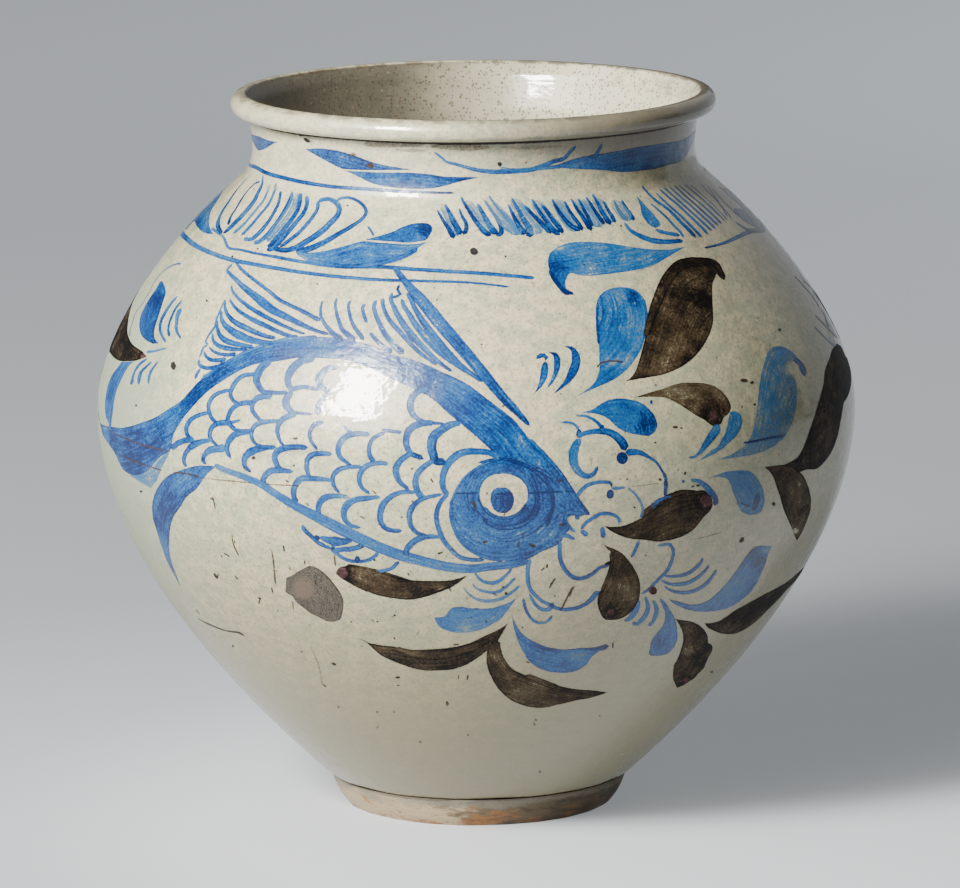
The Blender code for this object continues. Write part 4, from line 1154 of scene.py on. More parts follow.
fishScales = dict(paint=cobalt, load=0.60, fade=0.24, pool=0.25, bold=1.30, overshoot=0.0013, lines=[
    ("208,413 200.5,414.5 192.5,418 187.5,423 185.5,429.5 187,436 191.5,439.5", "2 3 2"),
    ("191.5,439.5 182.5,441 176,444 171,448", "3.5"),
    ("208,441 200.5,441.5 192.5,444 187,450 183.5,456.5 183.5,463 185.5,465.5", "2 3.5 2"),
    ("231,390 223,391.5 215.5,394.5 210,400 207.5,406 208.5,412.5 211.5,418.5 216,423", "2 2.6 2"),
    ("222,423 228,423 238.5,420.5", "3 1"),
    ("259.5,373 251,374.5 242.5,376 235.5,381.5 231.5,388.5 229.5,394 231.5,399 237.5,404", "2 3 2"),
    ("237,404.5 245,403 251,402.5", "3"), ("269.5,362.5 261.5,367 257.5,373 256,379.5 258,386 262,391.5", "4 5 3"),
    ("262,392 268,392.5 277.5,393 286,392.5", "3 2"),
    ("312.5,359.5 302,361 294.5,366 289.5,372.5 287.5,379.5 288,384.5 292,389.5", "4 5 3"),
    ("290,390 297,388 304.5,387 312,388.5 320.5,389", "3 2"),
    ("336.5,368 328.5,368.5 322.5,372.5 318.5,379 320,385.5 324,389 330,393", "2 5 1.5"),
    ("237.5,405 232,408.5 228.5,414 227,420 229.5,425 234.5,429.5", "3 2.5"), ("234.5,430 241,431 251,430.5", "2"),
    ("270,396 263,396 254.5,400 252,404.5 251.5,409 254,414.5 259.5,420", "5 3 2"),
    ("259.5,420.5 265.5,421.5 273,421.5 280,421", "2"), ("291,394 287,397 285.5,401.5 287.5,408 293.5,412.5", "4 5 2"),
    ("293.5,412.5 302,413.5 312,414", "2 1"), ("330,393 327.5,394 321,400.5 318,406.5 318,413", "2 4", 0.45),
    ("228,423 218,423.5 212.5,426 209.5,431 209,436.5 210.5,440 215.5,444.5", "4 3 1.5"),
    ("209,440 197.5,443.5 190,447.5", "2 4"),
    ("251,431.5 242.5,432.5 235,434.5 229.5,439.5 226.5,445.5 226.5,451 229.5,456.5", "3 4 2"),
    ("280.5,421 265.5,422 258,423.5 252.5,428 251,433.5 252,439.5 257,445.5", "2 3 1.5"), ("257,446 268,447.5 274,447", "3 1"),
    ("295,414 287.5,416.5 280.5,421 277.5,427 277.5,434.5 279.5,440.5 284,446", "4 3 1"),
    ("284,446.5 293.5,447 305.5,447.5", "2"), ("321,423 314,425 310.5,429.5 309.5,437 312,443 316.5,448.5", "3 1.5"),
    ("345,427.5 351,432.5", "2"),
    ("368,434.5 354.5,434 347,436 340.5,442 338,448 339,455.5 343.5,460.5 351,465.5", "2.5 4 1.5"),
    ("223,448.5 214.5,449 208.5,450.5 203.5,455.5 202,460 204.5,463", "5 4 2"),
    ("274,447.5 263,448 254.5,450 247,454 243.5,460 244,466 249.5,471", "2 5 1.5"),
    ("305.5,447.5 293.5,447 284,448.5 277,451.5 274,457.5 275.5,463 279.5,468.5 290,471.5", "3 4 2"),
    ("330,454 320.5,453.5 313,454.5 307.5,459 306.5,466 307.5,472.5 309.5,477", "2.5 3.5 2"),
    ("360,467 346,467.5 338,470 333,476 332.5,482 335,488 338.5,492", "2 3 1.5"),
    ("386.5,463.5 374.5,463.5 366.5,466 361,471.5 359,479.5 361,486.5 368.5,493", "2 3.5 1.5"),
    ("291,471.5 280,470.5 270.5,471 265.5,475 262.5,479.5 264,485.5", "2 4 3"),
    ("330,480 312,478.5 302,478.5 297,482 293.5,489.5 293.5,496.5 296,502", "2 4 3"),
    ("347,497 333.5,496 325,497.5 320.5,501.5 318,507.5 319,514.5 325,518.5", "2 4 2"),
    ("378,497 364,498.5 354.5,500 347,504.5 343.5,513 345,520 350.5,525.5 358.5,527", "2 4.5 1.5"),
    ("427,389.5 417.5,391.5 412,397.5 410,405.5 411.5,412.5 416,417.5 421.5,421", "3 4.5 2"),
    ("421.5,421.5 432.5,423 443,423.5", "3 1"),
    ("459,423 450,425 440.5,430.5 433.5,437 431.5,446 433,454 435,459.5", "3 6 5", 0.66),
    ("433.5,460 439,462 443.5,461.5", "4.5", 0.8),
    ("432.5,423 421.5,423.5 413.5,426.5 408,432.5 406,440.5 407.5,448.5 411,453.5", "3 4.5 3", 0.66),
    ("411,454 417.5,456.5 421.5,458", "3", 0.8), ("400,432 389,431 384,430", "2"),
    ("384,433 377,436 371.5,440.5 369,447.5 369.5,455.5 373.5,461.5", "2 3"), ("374.5,463.5 386.5,464", "1.6"),
    ("411,453.5 405.5,456.5 400,461 396,467.5 396,474 399.5,481.5 407.5,488.5", "3 4 2"),
    ("432.5,461 425.5,465.5 419,471.5 415.5,479.5 416,487.5 419.5,494.5 423,498.5", "3 4"),
    ("497.5,458 489,452.5 479.5,451.5 468.5,451.5 459,454 451,460 445,469 442.5,478.5 443,487.5 447,494.5", "3 4.5 3"),
    ("447,494.5 440.5,502 437,510.5 436.5,520 439,529.5 443.5,540 451,549.5 459,556.5 470,559.5 482,559.5", "2.5 3 2"),
    ("440.5,494.5 428.5,497 420,500 414,505 409.5,513 409.5,521.5 412,528 417.5,533 425.5,535.5", "1.5 3.5 2"),
    ("413.5,492.5 402.5,492 394.5,494.5 388,499 382.5,505 380,513 380.5,521.5 385,528 392,530.5 400,530.5", "2 4 2"),
    ("440.5,537 431,536.5 423,537 416,540 409.5,545.5 406,551 406.5,555.5", "1.5 4 3"),
    ("215.5,466 224,470 241,476 259.5,484 275.5,494 293.5,505 314,515.5 336,527 361,539 381,548 401.5,555.5 424,561.5 "
     "447,566.5 471,568.5 493,566 514.5,564 526,561", "3 4 5 7 6.5 6 5 4", 0.5),
], dots=[
    (264, 484, 2.2, 2.6, 0, 0.95), (202.5, 459, 2.2, 2.6, 0, 0.9), (423, 497, 2.2, 2.6, 0, 0.9), (407, 553, 2.6, 3, 0, 0.85),
    (296, 500, 2, 2.4, 0, 0.8),
])

fishHead = dict(paint=cobalt, load=0.70, leafFade=0.0, leaves=[
    # the head round the eye: its outline, and the ring about the white of the eye
    ("497,458 482,465 472.5,471.5 463,479.5 456.5,490.5 452,501 450.5,512 452,522.5 456,533.5 463,544 472.5,552.5 482,556.5 "
     "493,558 503,561 514.5,561.5 524,561",
     "499,474.5 494,475 489,477 484.5,481 481.5,486 480,492 480.3,498 482,503 485,508 489.5,512.5 494,515.5 498.5,517 "
     "502,517.6 505.5,517.6 509,517 512,516"),
    ("524,561 532,557.5 542.5,551.5 551.5,548 561,542.5 565,534 571,529 568,524 566,517 560,508 552,496 540,482 526,470 "
     "512,461 497,458",
     "512,516 516,514 520,511 523.5,507 526,502.5 527.3,497.5 527.4,492.5 526.5,488 524.5,484 521.5,480.5 518,478 514,476 "
     "509,474.6 504,474 499,474.5"),
    ("527,462 545,470 562,484 573,497 583,508 590,515.5", "540,482 549,492 558,503 567,510 578,514 590,515.5", 0.66),
    ("545,488 555,498 563,506 571,514", "545,506 553,513 560,518 571,515", 0.62),
    ("497,487.5 492,490.5 490.3,496 490.6,503 493.5,509.5 498,512.6 502,513.2",
     "506,487.5 511,490.5 513.8,495.5 514,503 511.5,509 507,512.6 502,513.2", 0.74),
], lines=[
    ("524,466 534.5,484.5 537.5,498.5 534.5,512.5 524,523 509,527.5 491.5,525 482,518", "3 4 4 2.5", 0.92),
    ("478,463 500,459 530,468 548,484 553,503 546,527", "2 3 3.5 2", 0.88),
    ("474,524 486,535 503,540 522,536 540,525 552,510", "2 3 3 2", 0.84),
    ("482,518 470,508 466,496 470,483 480,473", "2 3 2", 0.8), ("572,491.5 550,492 527.5,493", "0.9", 1.35),
    ("494,494 504,493.5 513.5,493", "0.8", 1.35), ("479,493 467,493.2 455,493.5", "0.8", 1.2),
    ("560,507 566,511 572,512.5 585,514.5", "3 4 2", 0.6), ("559.5,484.5 565.5,496 567,508 565.5,521.5", "2 3 2", 0.6),
    ("497,458 482,465 463,479.5 456.5,490.5 452,501 450.5,512 452,522.5 463,544 482,556.5 503,561", "1.5 2 2.5 2", 0.6),
    ("545,547 556,541 563,534.5 569,536.5 575.5,539.5", "3 4 2", 0.6),
    ("576,532.5 571,528.5 566,517 572.5,513.5 584,514.5", "2 3", 0.6),
    ("484,506 489,512.5 497,517 506,518.2 515,515.5 522,510 526.5,503", "2 2.6 2", 0.75),
], pools=[
    (506.5, 500, 5.5, 0.7), (505, 494, 4, 0.3), (500, 552, 20, -0.16), (460, 500, 10, -0.05), (545, 500, 12, 0.15),
    (560, 520, 12, 0.1), (540, 478, 14, 0.08),
])

# three comma strokes above the nose of the fish

commas = dict(paint=cobalt, load=0.68, leafFade=0.0, fade=0.1, leaves=[
    ("563.5,346.5 569.5,349.5 571.5,360 567,372.5 564.5,379 559,386.5 550.5,396.5",
     "563.5,346 572,346 578.5,352 581,360 579,370 573.5,379 563,388 550.5,396.5"),
    ("547,352.5 552,354.5 553.5,362.5 553,372.5 549,383 545,391",
     "547,352.5 553,351.5 558,353.5 560.5,359.5 559,371.5 554,381.5 545,391"),
    ("545,361 542,364 540.5,369 539.5,376 538,384 535,391 532,396",
     "545,361 548,364 548.5,370 547.5,377 542.5,386 536,392.5 532,396"),
], lines=[
    ("536,359.5 539,356.5 542.5,355 546,357 545.5,361", "3 3.5"),
], pools=[
    (574, 350, 5, 0.2), (556, 354, 4, 0.2),
])

# the big flower: washed leaves, curls and a ring of petals

flowerWash = dict(paint=cobalt, load=0.66, leafFade=0.1, fade=0.2, pool=0.2, leaves=[
    ("619.5,287 609,289 601.5,293.5 596.5,300 595.5,308.5 596.5,321.5 598,334 598.5,347 599,359.5 598.5,371.5 595,380.5 "
     "588.5,388 581,393 575.5,397",
     "619.5,287 627,287.5 635,290 641.5,295.5 645,303.5 647.5,313.5 647.5,325 645,336.5 642.5,347 637.5,356 631,365 622,374 "
     "612,380.5 599,386.5 588.5,391 575.5,397", 0.46),
    ("581,412.5 591.5,409.5 599,404.5 608,400 619.5,398 629.5,399 640,402 649,408.5 655.5,417.5 657.5,425 654.5,432 649,436",
     "581,412.5 591.5,413.5 601.5,415.5 609,420 615.5,426.5 623.5,431.5 632.5,434 641.5,435.5 649,436", 0.62),
    ("718.5,459.5 735,452 748,442 752,433 756.5,412 759,389 762.5,368 766,356 770,349 775,346.5 781,346 788,348.5 796,355 "
     "802,362 805.5,369 806,377",
     "718.5,460 735,458 760,453 775,446 785,437 792.5,423 796,410 797,395 796,382 794,372 791.5,365 794,361 798,364 801,370 "
     "803.5,375 806,377", 0.36),
    ("706,479 715,475.5 725,472 735,470.5 745,470 752,472 757,477 761,484 764,492 765,500 764,507 761,512 756,514.5 750,515",
     "706,479 720,477 728,480 731,487 733,493 736,500 738,506 741,511 746,514 750,515", 0.44),
    ("735,411 730,412 728,420 726,430 722,439 717,447 711,450 700,459 694,463",
     "735,411 740,414 742.5,420 741,428 736,436 729,443 722,449 710,456 694,463", 0.42),
    ("668,599 676,600.5 684,603 694,604.5 703,603 711,598.5 719,591.5 727,583 734,574 741,564 747,555 752,549 757,546 "
     "763,545.5 773,545.5",
     "668,599 674,604 682,608 692,611 703,612 714,611.5 724,609.5 733,606 741,601 749,594 756,585 761,575 765,566 768,556 "
     "771,549 773,545.5", 0.58),
    ("660,598 663,603 664.5,610 665,617 664,623 661,628 656,634 652,640 650,647 651,653 654,656",
     "660,598 667,604 671,611 675,618 677,625 678,633 677,641 674,648 669,653 662,655.5 654,656", 0.66),
    ("520,594 515,598.5 509,602 501,605 492,607.5 483,608.5 474,608.5 465,607 457,606.5 451,608 448,612 445,616 440,617 "
     "434,617",
     "520,594 516,599 511,606 506,613 500,619.5 492,624.5 483,629 474,631.5 464,633 454,632.5 445,630 439,627 436,622 434,617",
     0.55),
    ("512,608 513,617 517,626 522,633 528,638 536,642 545,646 554,648 564,649.5 575,649 586,649 597,649 604,646 609.5,645.5",
     "512,608 513,625 516,636 519,644 523,652 529,659 537,665 546,669 556,671.5 566,671.5 576,670 583,667 588,662.5 592,657 "
     "600,651 609.5,645.5", 0.68),
], lines=[
    ("743,443 755,441 765,439 775,437 784,436", "1.2", 0.9), ("794,360 800,363 803.5,370 805,376", "4 5", 0.8),
    ("758,493 757,500 755,507 753,511", "3.5 4.5 3", 0.95), ("741,502 746,505.5 751,506", "1.5", 0.8),
    ("690,480 697,480.5 703,484 709,490 714,496 716,502 714,506", "1.5 5 3.5", 0.6),
    ("452,616.5 460,615.5 470,611.5 480,608.5", "4 5 3 1.5", 0.85), ("565,651 580,650 597,649 609,646", "2 3 3 4.5", 0.9),
    ("525,655 537,665.5 556,671 576,669.5 588,662", "1.5 2.5 2", 0.7), ("651,648 652,654 657,654.5", "2 3 2", 0.7),
    ("719,425 714,433 709,440 704,447 699,453 694,457 688,457.5", "7 6.5 5 2 1", 0.55),
    ("643,298 646,312 646,325 643,340", "2 1.6", 0.6), ("597,302 596.5,320 598.5,345", "1.5", 0.6),
], pools=[
    (633, 298, 9, 0.6), (608, 314, 15, 0.26), (612, 374, 12, 0.15), (622, 299, 6, -0.2), (647, 424, 10, 0.65),
    (636, 420, 6, -0.15), (757, 559, 9, 0.45), (768, 549, 6, -0.35), (660, 640, 11, 0.22), (575, 659, 10, -0.22),
    (462, 613, 12, 0.15), (793, 368, 8, -0.35), (606, 646, 6, 0.35), (780, 352, 12, 0.14), (470, 624, 14, -0.14),
    (610, 380, 14, 0.08),
])

flowerLines = dict(paint=cobalt, load=0.58, fade=0.25, pool=0.3, lines=[
    ("575.5,415.5 585,416 594,420 599.5,425 601,428", "1.2 2.5"), ("560.5,422.5 569.5,422.5 576,425.5 579,431", "1.2 2.2"),
    ("580.5,438.5 575.5,445.5 573,454.5 574,464 578,471 584,475.5 589.5,476 595.5,471 597.5,466", "5 7.5 6 4 2", 0.62),
    ("576.5,438 581.5,434.5 589.5,432 600,431 609.5,432.5 617.5,437.5 623,444 625.5,450.5", "3 4 6 7.5", 0.62),
    ("625.5,452.5 633.5,452 640,452.5 645,455 650,458 655,461 659,466 662,471 665,477 666,483 665.5,490 665,497",
     "6 4 2.2 1.5 1.8 2.5 2.2", 0.62),
    ("672,496.5 667,497 662,499 657,502 653.5,505", "1 2 4.5", 0.65),
    ("576.5,497 579.5,492.5 586,486 595.5,482.5 604.5,482 610.5,483 611.5,487.5", "3 2"),
    ("610.5,488 618.5,488 626.5,487", "3 1"), ("626.5,487 633,492 638,498 641,504 642.5,508 642,513 640,518", "1.2 2", 0.34),
    ("618.5,524 619,519.5 615,515.5 608,513.5 600,514 593,518 587.5,521 583,526 580.5,530", "2 2.6 2"),
    ("580.5,530 584,533 587.5,535.5", "2.5 5", 0.7),
    ("560,540 559.5,550 560.5,560 564,568 570,575 577,578.5 585,577.5 593,573.5 600,567.5 609.5,565.5", "2.5 3.2 3 2"),
    ("602.5,526 602.5,533 604,538", "3 4", 0.7), ("639,540 637,546 634,553 631,558", "2.2"),
    ("530,558.5 528,567 527.5,576 528.5,584 531.5,591 536,596 541,600.5 547,603.5 553,606.5 560,609 568,609.5 576,608 584,605 "
     "591,600 596,594 599.5,591", "3 3 2.5 2.6 2.6 4.5"),
    ("529,593 532,599 536,605 541,609 546,610 550,608.5 553,604.5", "1.5 2.5 3.5"),
    ("523,598 524.5,605 527,612 531,618 536,622 541,623 546,622 550,619 552,615", "2"),
    ("474,571 477,576 481,580 486,582.5 492,583 498,581.5 504,577 509,572 512,567.5", "1.2 2.8 1.5", 0.5),
    ("472,583 475,587 480,590 487,592 494,592.5 500,591 506,587 512,581 516,577", "1 2.2 1.5", 0.45),
    ("463,586 466,591 471,596 478,599.5 486,601 494,600.5 501,598.5 508,595 514,590.5 520,585", "1 2.5 1.5", 0.36),
    ("657,545.5 663,545 668,544 672,547 673.5,552 672.5,558 670,565 666,572 661,577 656,582 651,587 645,592 641,594",
     "2 2.5 1.6"),
    ("664,575.5 670,576.5 677,576 685,574.5 692,571 698,566 702,560 702,557.5", "1.2 3 2"),
    ("661,580 667,583 674,584.5 682,584 690,582 698,577.5 704,572 708,567 709,564.5", "1.2 3.4 1.5"),
    ("664,585.5 670,590 677,592 686,592.5 694,591 701,587.5 708,582 714,574 717,569", "1 3.2 2"),
    ("639.5,600 638,606 635,612 630,618 624,621", "1.5 5 2"),
    ("645,596 647,602 648,609 646,615 642,620 637,624 632,622", "1.5 4 2.5"),
    ("653,600 656,606 656.5,612 655,618 652,623 648,626", "1.5 4 2"), ("660,598 663,603 665,610", "2", 0.5),
], dots=[
    (601.5, 429, 3, 5, 20, 0.85), (578.7, 433.3, 3, 4.6, 10, 0.85), (622, 458, 6, 6.5, 0, 1), (610, 494, 4, 5, 10, 0.9),
    (653.5, 505.5, 3, 3.2, 0, 0.85), (665.6, 483, 2.4, 2.8, 0, 0.95), (683, 481.5, 1.8, 1.8, 0, 0.95),
    (651, 402, 1.6, 2.4, 0, 0.85), (552, 605, 2.2, 2.6, 0, 0.9), (577, 517, 2.6, 3, 0, 0.8),
], pools=[
    (625, 450, 6, 0.3), (580, 443, 6, 0.1), (598, 592, 4, 0.2),
])

# iron-brown leaves round the flower and under the fish

ironLeaves = dict(paint=iron, load=0.80, leafFade=0.0, leaves=[
    ("622,382 628.5,379 635,371.5 638.5,361 641.5,349.5 645,336.5 649,324 653,311 658,298 663,286.5 669,276 678.5,266.5 "
     "687.5,262 698.5,259.5 709,260.5 717,264 723,270.5 726,276 724,280.5",
     "622,382 637.5,379.5 649,377.5 662,375 676,370 688.5,362.5 699,352 706.5,340.5 712,327.5 713.5,318.5 713,308.5 "
     "712.5,295.5 713,283 715,278 715.5,273 720,277.5 724,280.5", 0.7),
    ("633,397.5 641.5,395 650.5,392 662,389 671,385.5 681,383 694,382.5 706.5,383.5 715.5,386.5 723.5,392.5 728.5,399.5 "
     "731,407 728.5,413.5 723.5,417.5 722,422.5 715.5,426.5",
     "633,397.5 642.5,397 655.5,397 665.5,398 674.5,402 685,408.5 695,415 704,420 710.5,425 715.5,426.5", 0.42),
    ("602,524.5 606,526 612,526.5 620,526 628,524 636,520.5 644,516 651,511 658,506 665,501.5 672,497.5 680,494 688,492 "
     "696,490.5 704,490 709,493 712,498 713,504 711.5,509 709,512",
     "602,524.5 606,528 612,532 618,535 626,538 634,539.5 642,540 650,541 658,542 666,541 672,540 680,537.5 686,535 692,531 "
     "697,526 701,521 705,516 709,512", 0.66),
    ("602.5,543.5 608,546.5 615,549 622,553 628,559 633,566 637,573 640,581 640.5,590 640,597 638,603 634,609 629,614 625,617 "
     "620,619 612,620 606,620",
     "602.5,543.5 606,548 611,553 612.5,560 612,568 609,577 605,586 601,594 599,601 598.5,607 600,613 603,618 606,620", 0.56),
    ("838,343.5 832,352 830,362 827,374 822,392 816,412 810,430 804,446 799,456 790,462 780,466 764,467",
     "838,343.5 844,350 849.5,366 849,378 845.5,397 842,418 838,437 832,452 825,462 817,469 806,470 798,473 788,472 776,470 "
     "764,467", 0.86),
    ("764,467 770,472 774,479 777,488 780,497 783,507 787,518 791,526 794,534 797,541",
     "764,467 785,465 797,469 804,476 808,484 810.5,493 811.5,503 810.5,512 807,522 802,533 797,541", 0.6),
    ("704,623 710,623 718,621.5 726,617 735,610.5 745,605 755,599.5 764,594.5 773,590 782,585 790,580 797,574 803,568.5 "
     "806,566.5",
     "704,623 708,628 714,631 721,633.5 730,634.5 738,633 746,629 753,624 760,618 767,611 774,604 780,598 786,591 792,585 "
     "798,578 803,571 806,566.5", 0.88),
    ("675,618.5 682,620 690,621 698,624 704,629 708,636 709,643 712.5,645 712.5,651 709,657 704,664 700,671 696,677 690,681 "
     "684,685 677,688", "675,618.5 678,623 681,629 683,635 683,642 681,650 678,658 674.5,666 673,672 673,679 675,683 677,688",
     0.6),
    ("470,574 463,576.5 455,579 445,580.5 435,580.5 425,580.5 415,580 405,579 395,576.5 385,573.5 375,570.5 365,568 357,566 "
     "350,565 344,566 339,567 336.5,570 335.5,574",
     "470,574 466,577 460,582 453,586.5 446,590 438,593 429,596 420,598.5 410,600 400,599.5 390,598 380,596 370,593 362,590 "
     "354,586 347,582 341,578.5 335.5,574", 0.66),
    ("356,635 364,641 376,644 384,645.5 392,646 400,648 410,649.5 420,649.5 430,649 440,648.5 450,647.5 460,645.5 470,642.5 "
     "478,639 486,635 494,631.5 500,628.5 505,625 509,622",
     "356,635 368,644 374,650 381,655.5 390,660 400,664 410,667.5 420,670 430,671 440,670.5 450,670 458,668 466,665 473,661 "
     "479,657 487,651 495,645 502,634 509,622", 0.72),
    ("494,640 500,642 501,648 503,655 507,662 513,669 521,673 530,677 540,681 550,684 560,686 570,688 580,689.5 590,690 "
     "600,691 608,692.5",
     "494,640 488,648 486,659 487,667 490,675 494,683 499,690 505,696 512,701 520,704.5 529,707 538,708 547,707.5 557,705 "
     "566,703 576,700.5 586,699 594,697 601,695 608,692.5", 0.64),
], lines=[
    ("645,336.5 649,324 653,311 658,298 663,286.5 669,276 678.5,266.5 698.5,261.5 716,265 724,279", "4 8 9 9 7 4", 0.85),
    ("526,675 545,683 565,690 585,694", "4 5 3 1", 0.62), ("395,648 415,654 440,655 470,648 490,640", "3 7 7 4", 0.6),
    ("345,567 365,572 390,579 415,586 440,587", "6 9 8 3", 0.6), ("640,516 660,508 680,500 700,497", "5 14 16 10", 0.62),
    ("611,552 612,562 609,575 604,588 600,600 602,612", "3 3.5 4", 0.62), ("621,556 618,570 612,590 606,605", "3 5 8", 0.45),
    ("676,662 682,672 690,676 700,668 707,655", "6 7 5", 0.5), ("833,360 829,380 828,405 831,425 826,448", "8 14 14 8", 0.5),
    ("798,515 803,510 809,506", "3 5", 0.8), ("604,565 608,563.5 612,561.5", "2.2", 0.62),
], dots=[
    (653, 590.5, 4.6, 4.4, 30, 1.25),
], pools=[
    (713, 415, 13, 0.75), (706, 501, 11, 0.62), (611, 612, 7, 0.7), (342, 572.5, 6.5, 0.85), (700, 660, 7, 0.55),
    (686, 680, 7, 0.65), (708, 648, 5, 0.5), (698, 300, 14, 0.28), (660, 372, 16, -0.2), (678, 345, 16, -0.22),
    (672, 325, 12, -0.15), (690, 405, 9, 0.35), (640, 530, 16, -0.12), (670, 527, 14, -0.18), (730, 629, 10, -0.28),
    (755, 613, 12, 0.1), (690, 636, 9, -0.1), (380, 591, 22, -0.16), (420, 664, 20, -0.12), (530, 697, 24, -0.14),
    (792, 490, 10, -0.1), (795, 531, 4, -0.6), (836, 395, 5, -0.14), (630, 590, 10, -0.2), (840, 355, 9, -0.2),
])

# spots of iron, chips, scratches and a groove

spots = dict(paint=ironSpotAndShadow, load=0.9, dots=[
    (474, 251.5, 4.6, 4, 20, 1.2), (505.5, 256.5, 1.4, 1.4, 0, 1.1), (231.5, 256.5, 1.5, 1.3, 0, 1.1),
    (248, 276.5, 1.3, 1.3, 0, 1.1), (317, 284, 1.3, 1.3, 0, 1.1), (206, 301, 1.4, 1.4, 0, 1.1),
    (408.7, 311.3, 1.3, 1.3, 0, 1.1), (437, 300, 1.5, 1.3, 0, 1.1), (481.5, 344.5, 1.3, 1.3, 0, 1.1),
    (436, 387.5, 1.5, 1.5, 0, 1.1), (135, 405.5, 1.2, 1.5, 0, 1.1), (314.5, 317, 1.3, 1.3, 0, 1), (584, 264.5, 1.3, 1.3, 0, 1),
    (499, 163.5, 2.6, 2.4, 0, 1.2), (348, 205.5, 1.3, 1.3, 0, 1), (257, 249, 1.2, 1.2, 0, 1), (244, 467.5, 1.3, 1.3, 0, 1),
    (140, 491.5, 1.3, 1.4, 0, 1), (172.5, 366, 2.8, 4.6, 0, 0.75), (295, 438.5, 3, 1.6, 0, 0.5), (253, 458, 2.2, 2.2, 0, 0.5),
    (293.5, 465.5, 1.6, 1.6, 0, 0.6), (461, 454.5, 4.2, 1.7, 10, 0.62), (560, 480.5, 3.6, 1.2, 0, 0.6),
    (536, 468, 1.6, 1.2, 0, 0.6), (561.5, 524.5, 3.2, 1.6, 0, 0.6), (532.5, 545.5, 4, 1.8, 25, 0.7),
    (485, 542, 2.6, 1.6, 0, 0.6), (372, 165, 4, 3, 0, 0.6), (355, 154, 4, 2.6, 0, 0.35), (305, 134.5, 3.2, 1.6, 0, 0.6),
    (780, 330, 1.6, 1.6, 0, 1), (744, 380.5, 4, 2, 5, 0.55), (752, 382.5, 2.2, 1.8, 0, 0.5), (755, 404.5, 1.6, 1.6, 0, 1.1),
    (742, 407, 1.1, 1.1, 0, 1), (774, 504, 2, 2.2, 0, 1.15), (742, 540, 2, 3.4, 35, 0.8), (698, 485.5, 2.2, 1.6, 0, 1.15),
    (685, 473, 1.6, 1.9, 0, 1.1), (660, 479.5, 2, 1.5, 30, 1.1), (627, 479, 1.2, 1.2, 0, 1), (620, 479, 0.9, 0.9, 0, 0.8),
    (655, 442.5, 1.3, 1.2, 0, 0.7), (675, 427, 3, 1.6, 0, 0.6), (681, 428, 1.8, 1.3, 0, 0.45), (634.5, 507.5, 1.3, 1.3, 0, 0.8),
    (333.5, 664, 2.8, 1.5, 25, 0.95), (397.5, 677.5, 2.8, 1.4, 5, 1.1), (398, 685.5, 2.2, 0.9, 0, 0.35),
    (394.5, 615.5, 1.4, 1.2, 0, 0.7), (351, 622, 1.2, 1.1, 0, 0.5), (301, 652, 1.4, 0.9, 0, 0.45),
    (362.5, 547, 1.7, 1.5, 0, 0.7), (374.5, 560, 1.6, 1.5, 0, 0.9), (390, 548, 1.4, 0.9, 0, 0.5), (503, 587, 1.5, 1.3, 0, 1.15),
    (506, 593.5, 2, 1.9, 0, 0.9), (486, 621.5, 1.7, 1.3, 0, 1.1), (471, 617.5, 1.2, 1, 0, 0.9), (547, 566, 1.2, 2.6, 10, 0.6),
    (440, 553, 3.2, 1.2, -15, 0.8), (467.5, 677.5, 1.1, 2.8, 15, 0.7), (458.5, 677, 0.9, 2.6, 5, 0.4),
    (447, 703.5, 1.8, 2.6, 0, 0.45), (613, 645, 1, 3.4, 0, 0.45), (259, 598.5, 2.2, 1.2, 30, 1.1), (232, 646, 1, 1.5, 0, 0.6),
    (712, 672, 1.6, 0.9, -30, 0.9), (540, 772, 1.4, 1.2, 0, 0.7), (600, 716, 1, 0.9, 0, 0.7), (420, 742, 1.3, 1.1, 0, 0.6),
    (670, 612, 1.2, 1, 0, 0.6), (276, 571, 1.2, 1, 0, 0.5), (536, 720, 1.2, 1, 0, 0.5), (377, 712, 1.3, 1, 0, 0.6),
    (468, 735, 1.1, 1, 0, 0.6),
], lines=[
    ("196,618 203,622 212,626 222,630 232,632 239,633 244,636", "0.8 1.4 1.2 1.0 2.0", 0.55),
    ("213,573 215,576.5 217,579", "1.2 2 1", 1), ("172.5,472.5 186,474 199,477", "0.9", 0.5),
    ("573,586 566,600 560,612", "0.7 1 0.6", 0.55), ("556,577 552,583 549,589", "0.9", 0.75),
    ("211,495 213,502 215,510", "0.7", 0.45), ("231.5,533 232,542 238.5,556.5", "0.7", 0.45),
    ("222.5,553 226,555 229.5,557", "0.8", 0.5), ("283,545 283.5,549 284,552", "0.9", 0.6),
    ("271,548 273,561 275,585", "0.8", 0.42), ("292,600 293,610", "0.8", 0.3), ("234,575 236,578 238,580", "0.8", 0.3),
    ("194,609 197,612 199,615", "0.7", 0.35), ("334,553 334.5,560 335.5,568", "0.7", 0.4), ("691,487 695,486", "0.9", 0.7),
    ("575,585 572,591 569,598", "0.7", 0.4), ("688,540 700,538 712,535 722,532", "0.3 0.8 0.4", 0.16),
    ("628,487 640,485.5 660,483", "0.3", 0.22), ("470,501 474,503.5 475,508 472.5,511 472,514", "2.4 1.6 2.2", 0.62),
    ("596,368.5 600.5,363.5 606,361.5 624,362", "0.9", 0.45), ("109.6,431 121,437 141.5,445 158,449.5 169.5,451.5", "0.8", 0.3),
    ("113,452 122,456.5 135,462 150,467 162,470.6", "0.8", 0.3), ("193,477 240,482 300,486", "0.6 0.4", 0.28),
    ("310,645 318,665 322,685", "0.7", 0.2),
])

# under the roll: a painted shadow line all round where it meets the neck, a band of painted shade below it at the left,
# and brown smudges below it

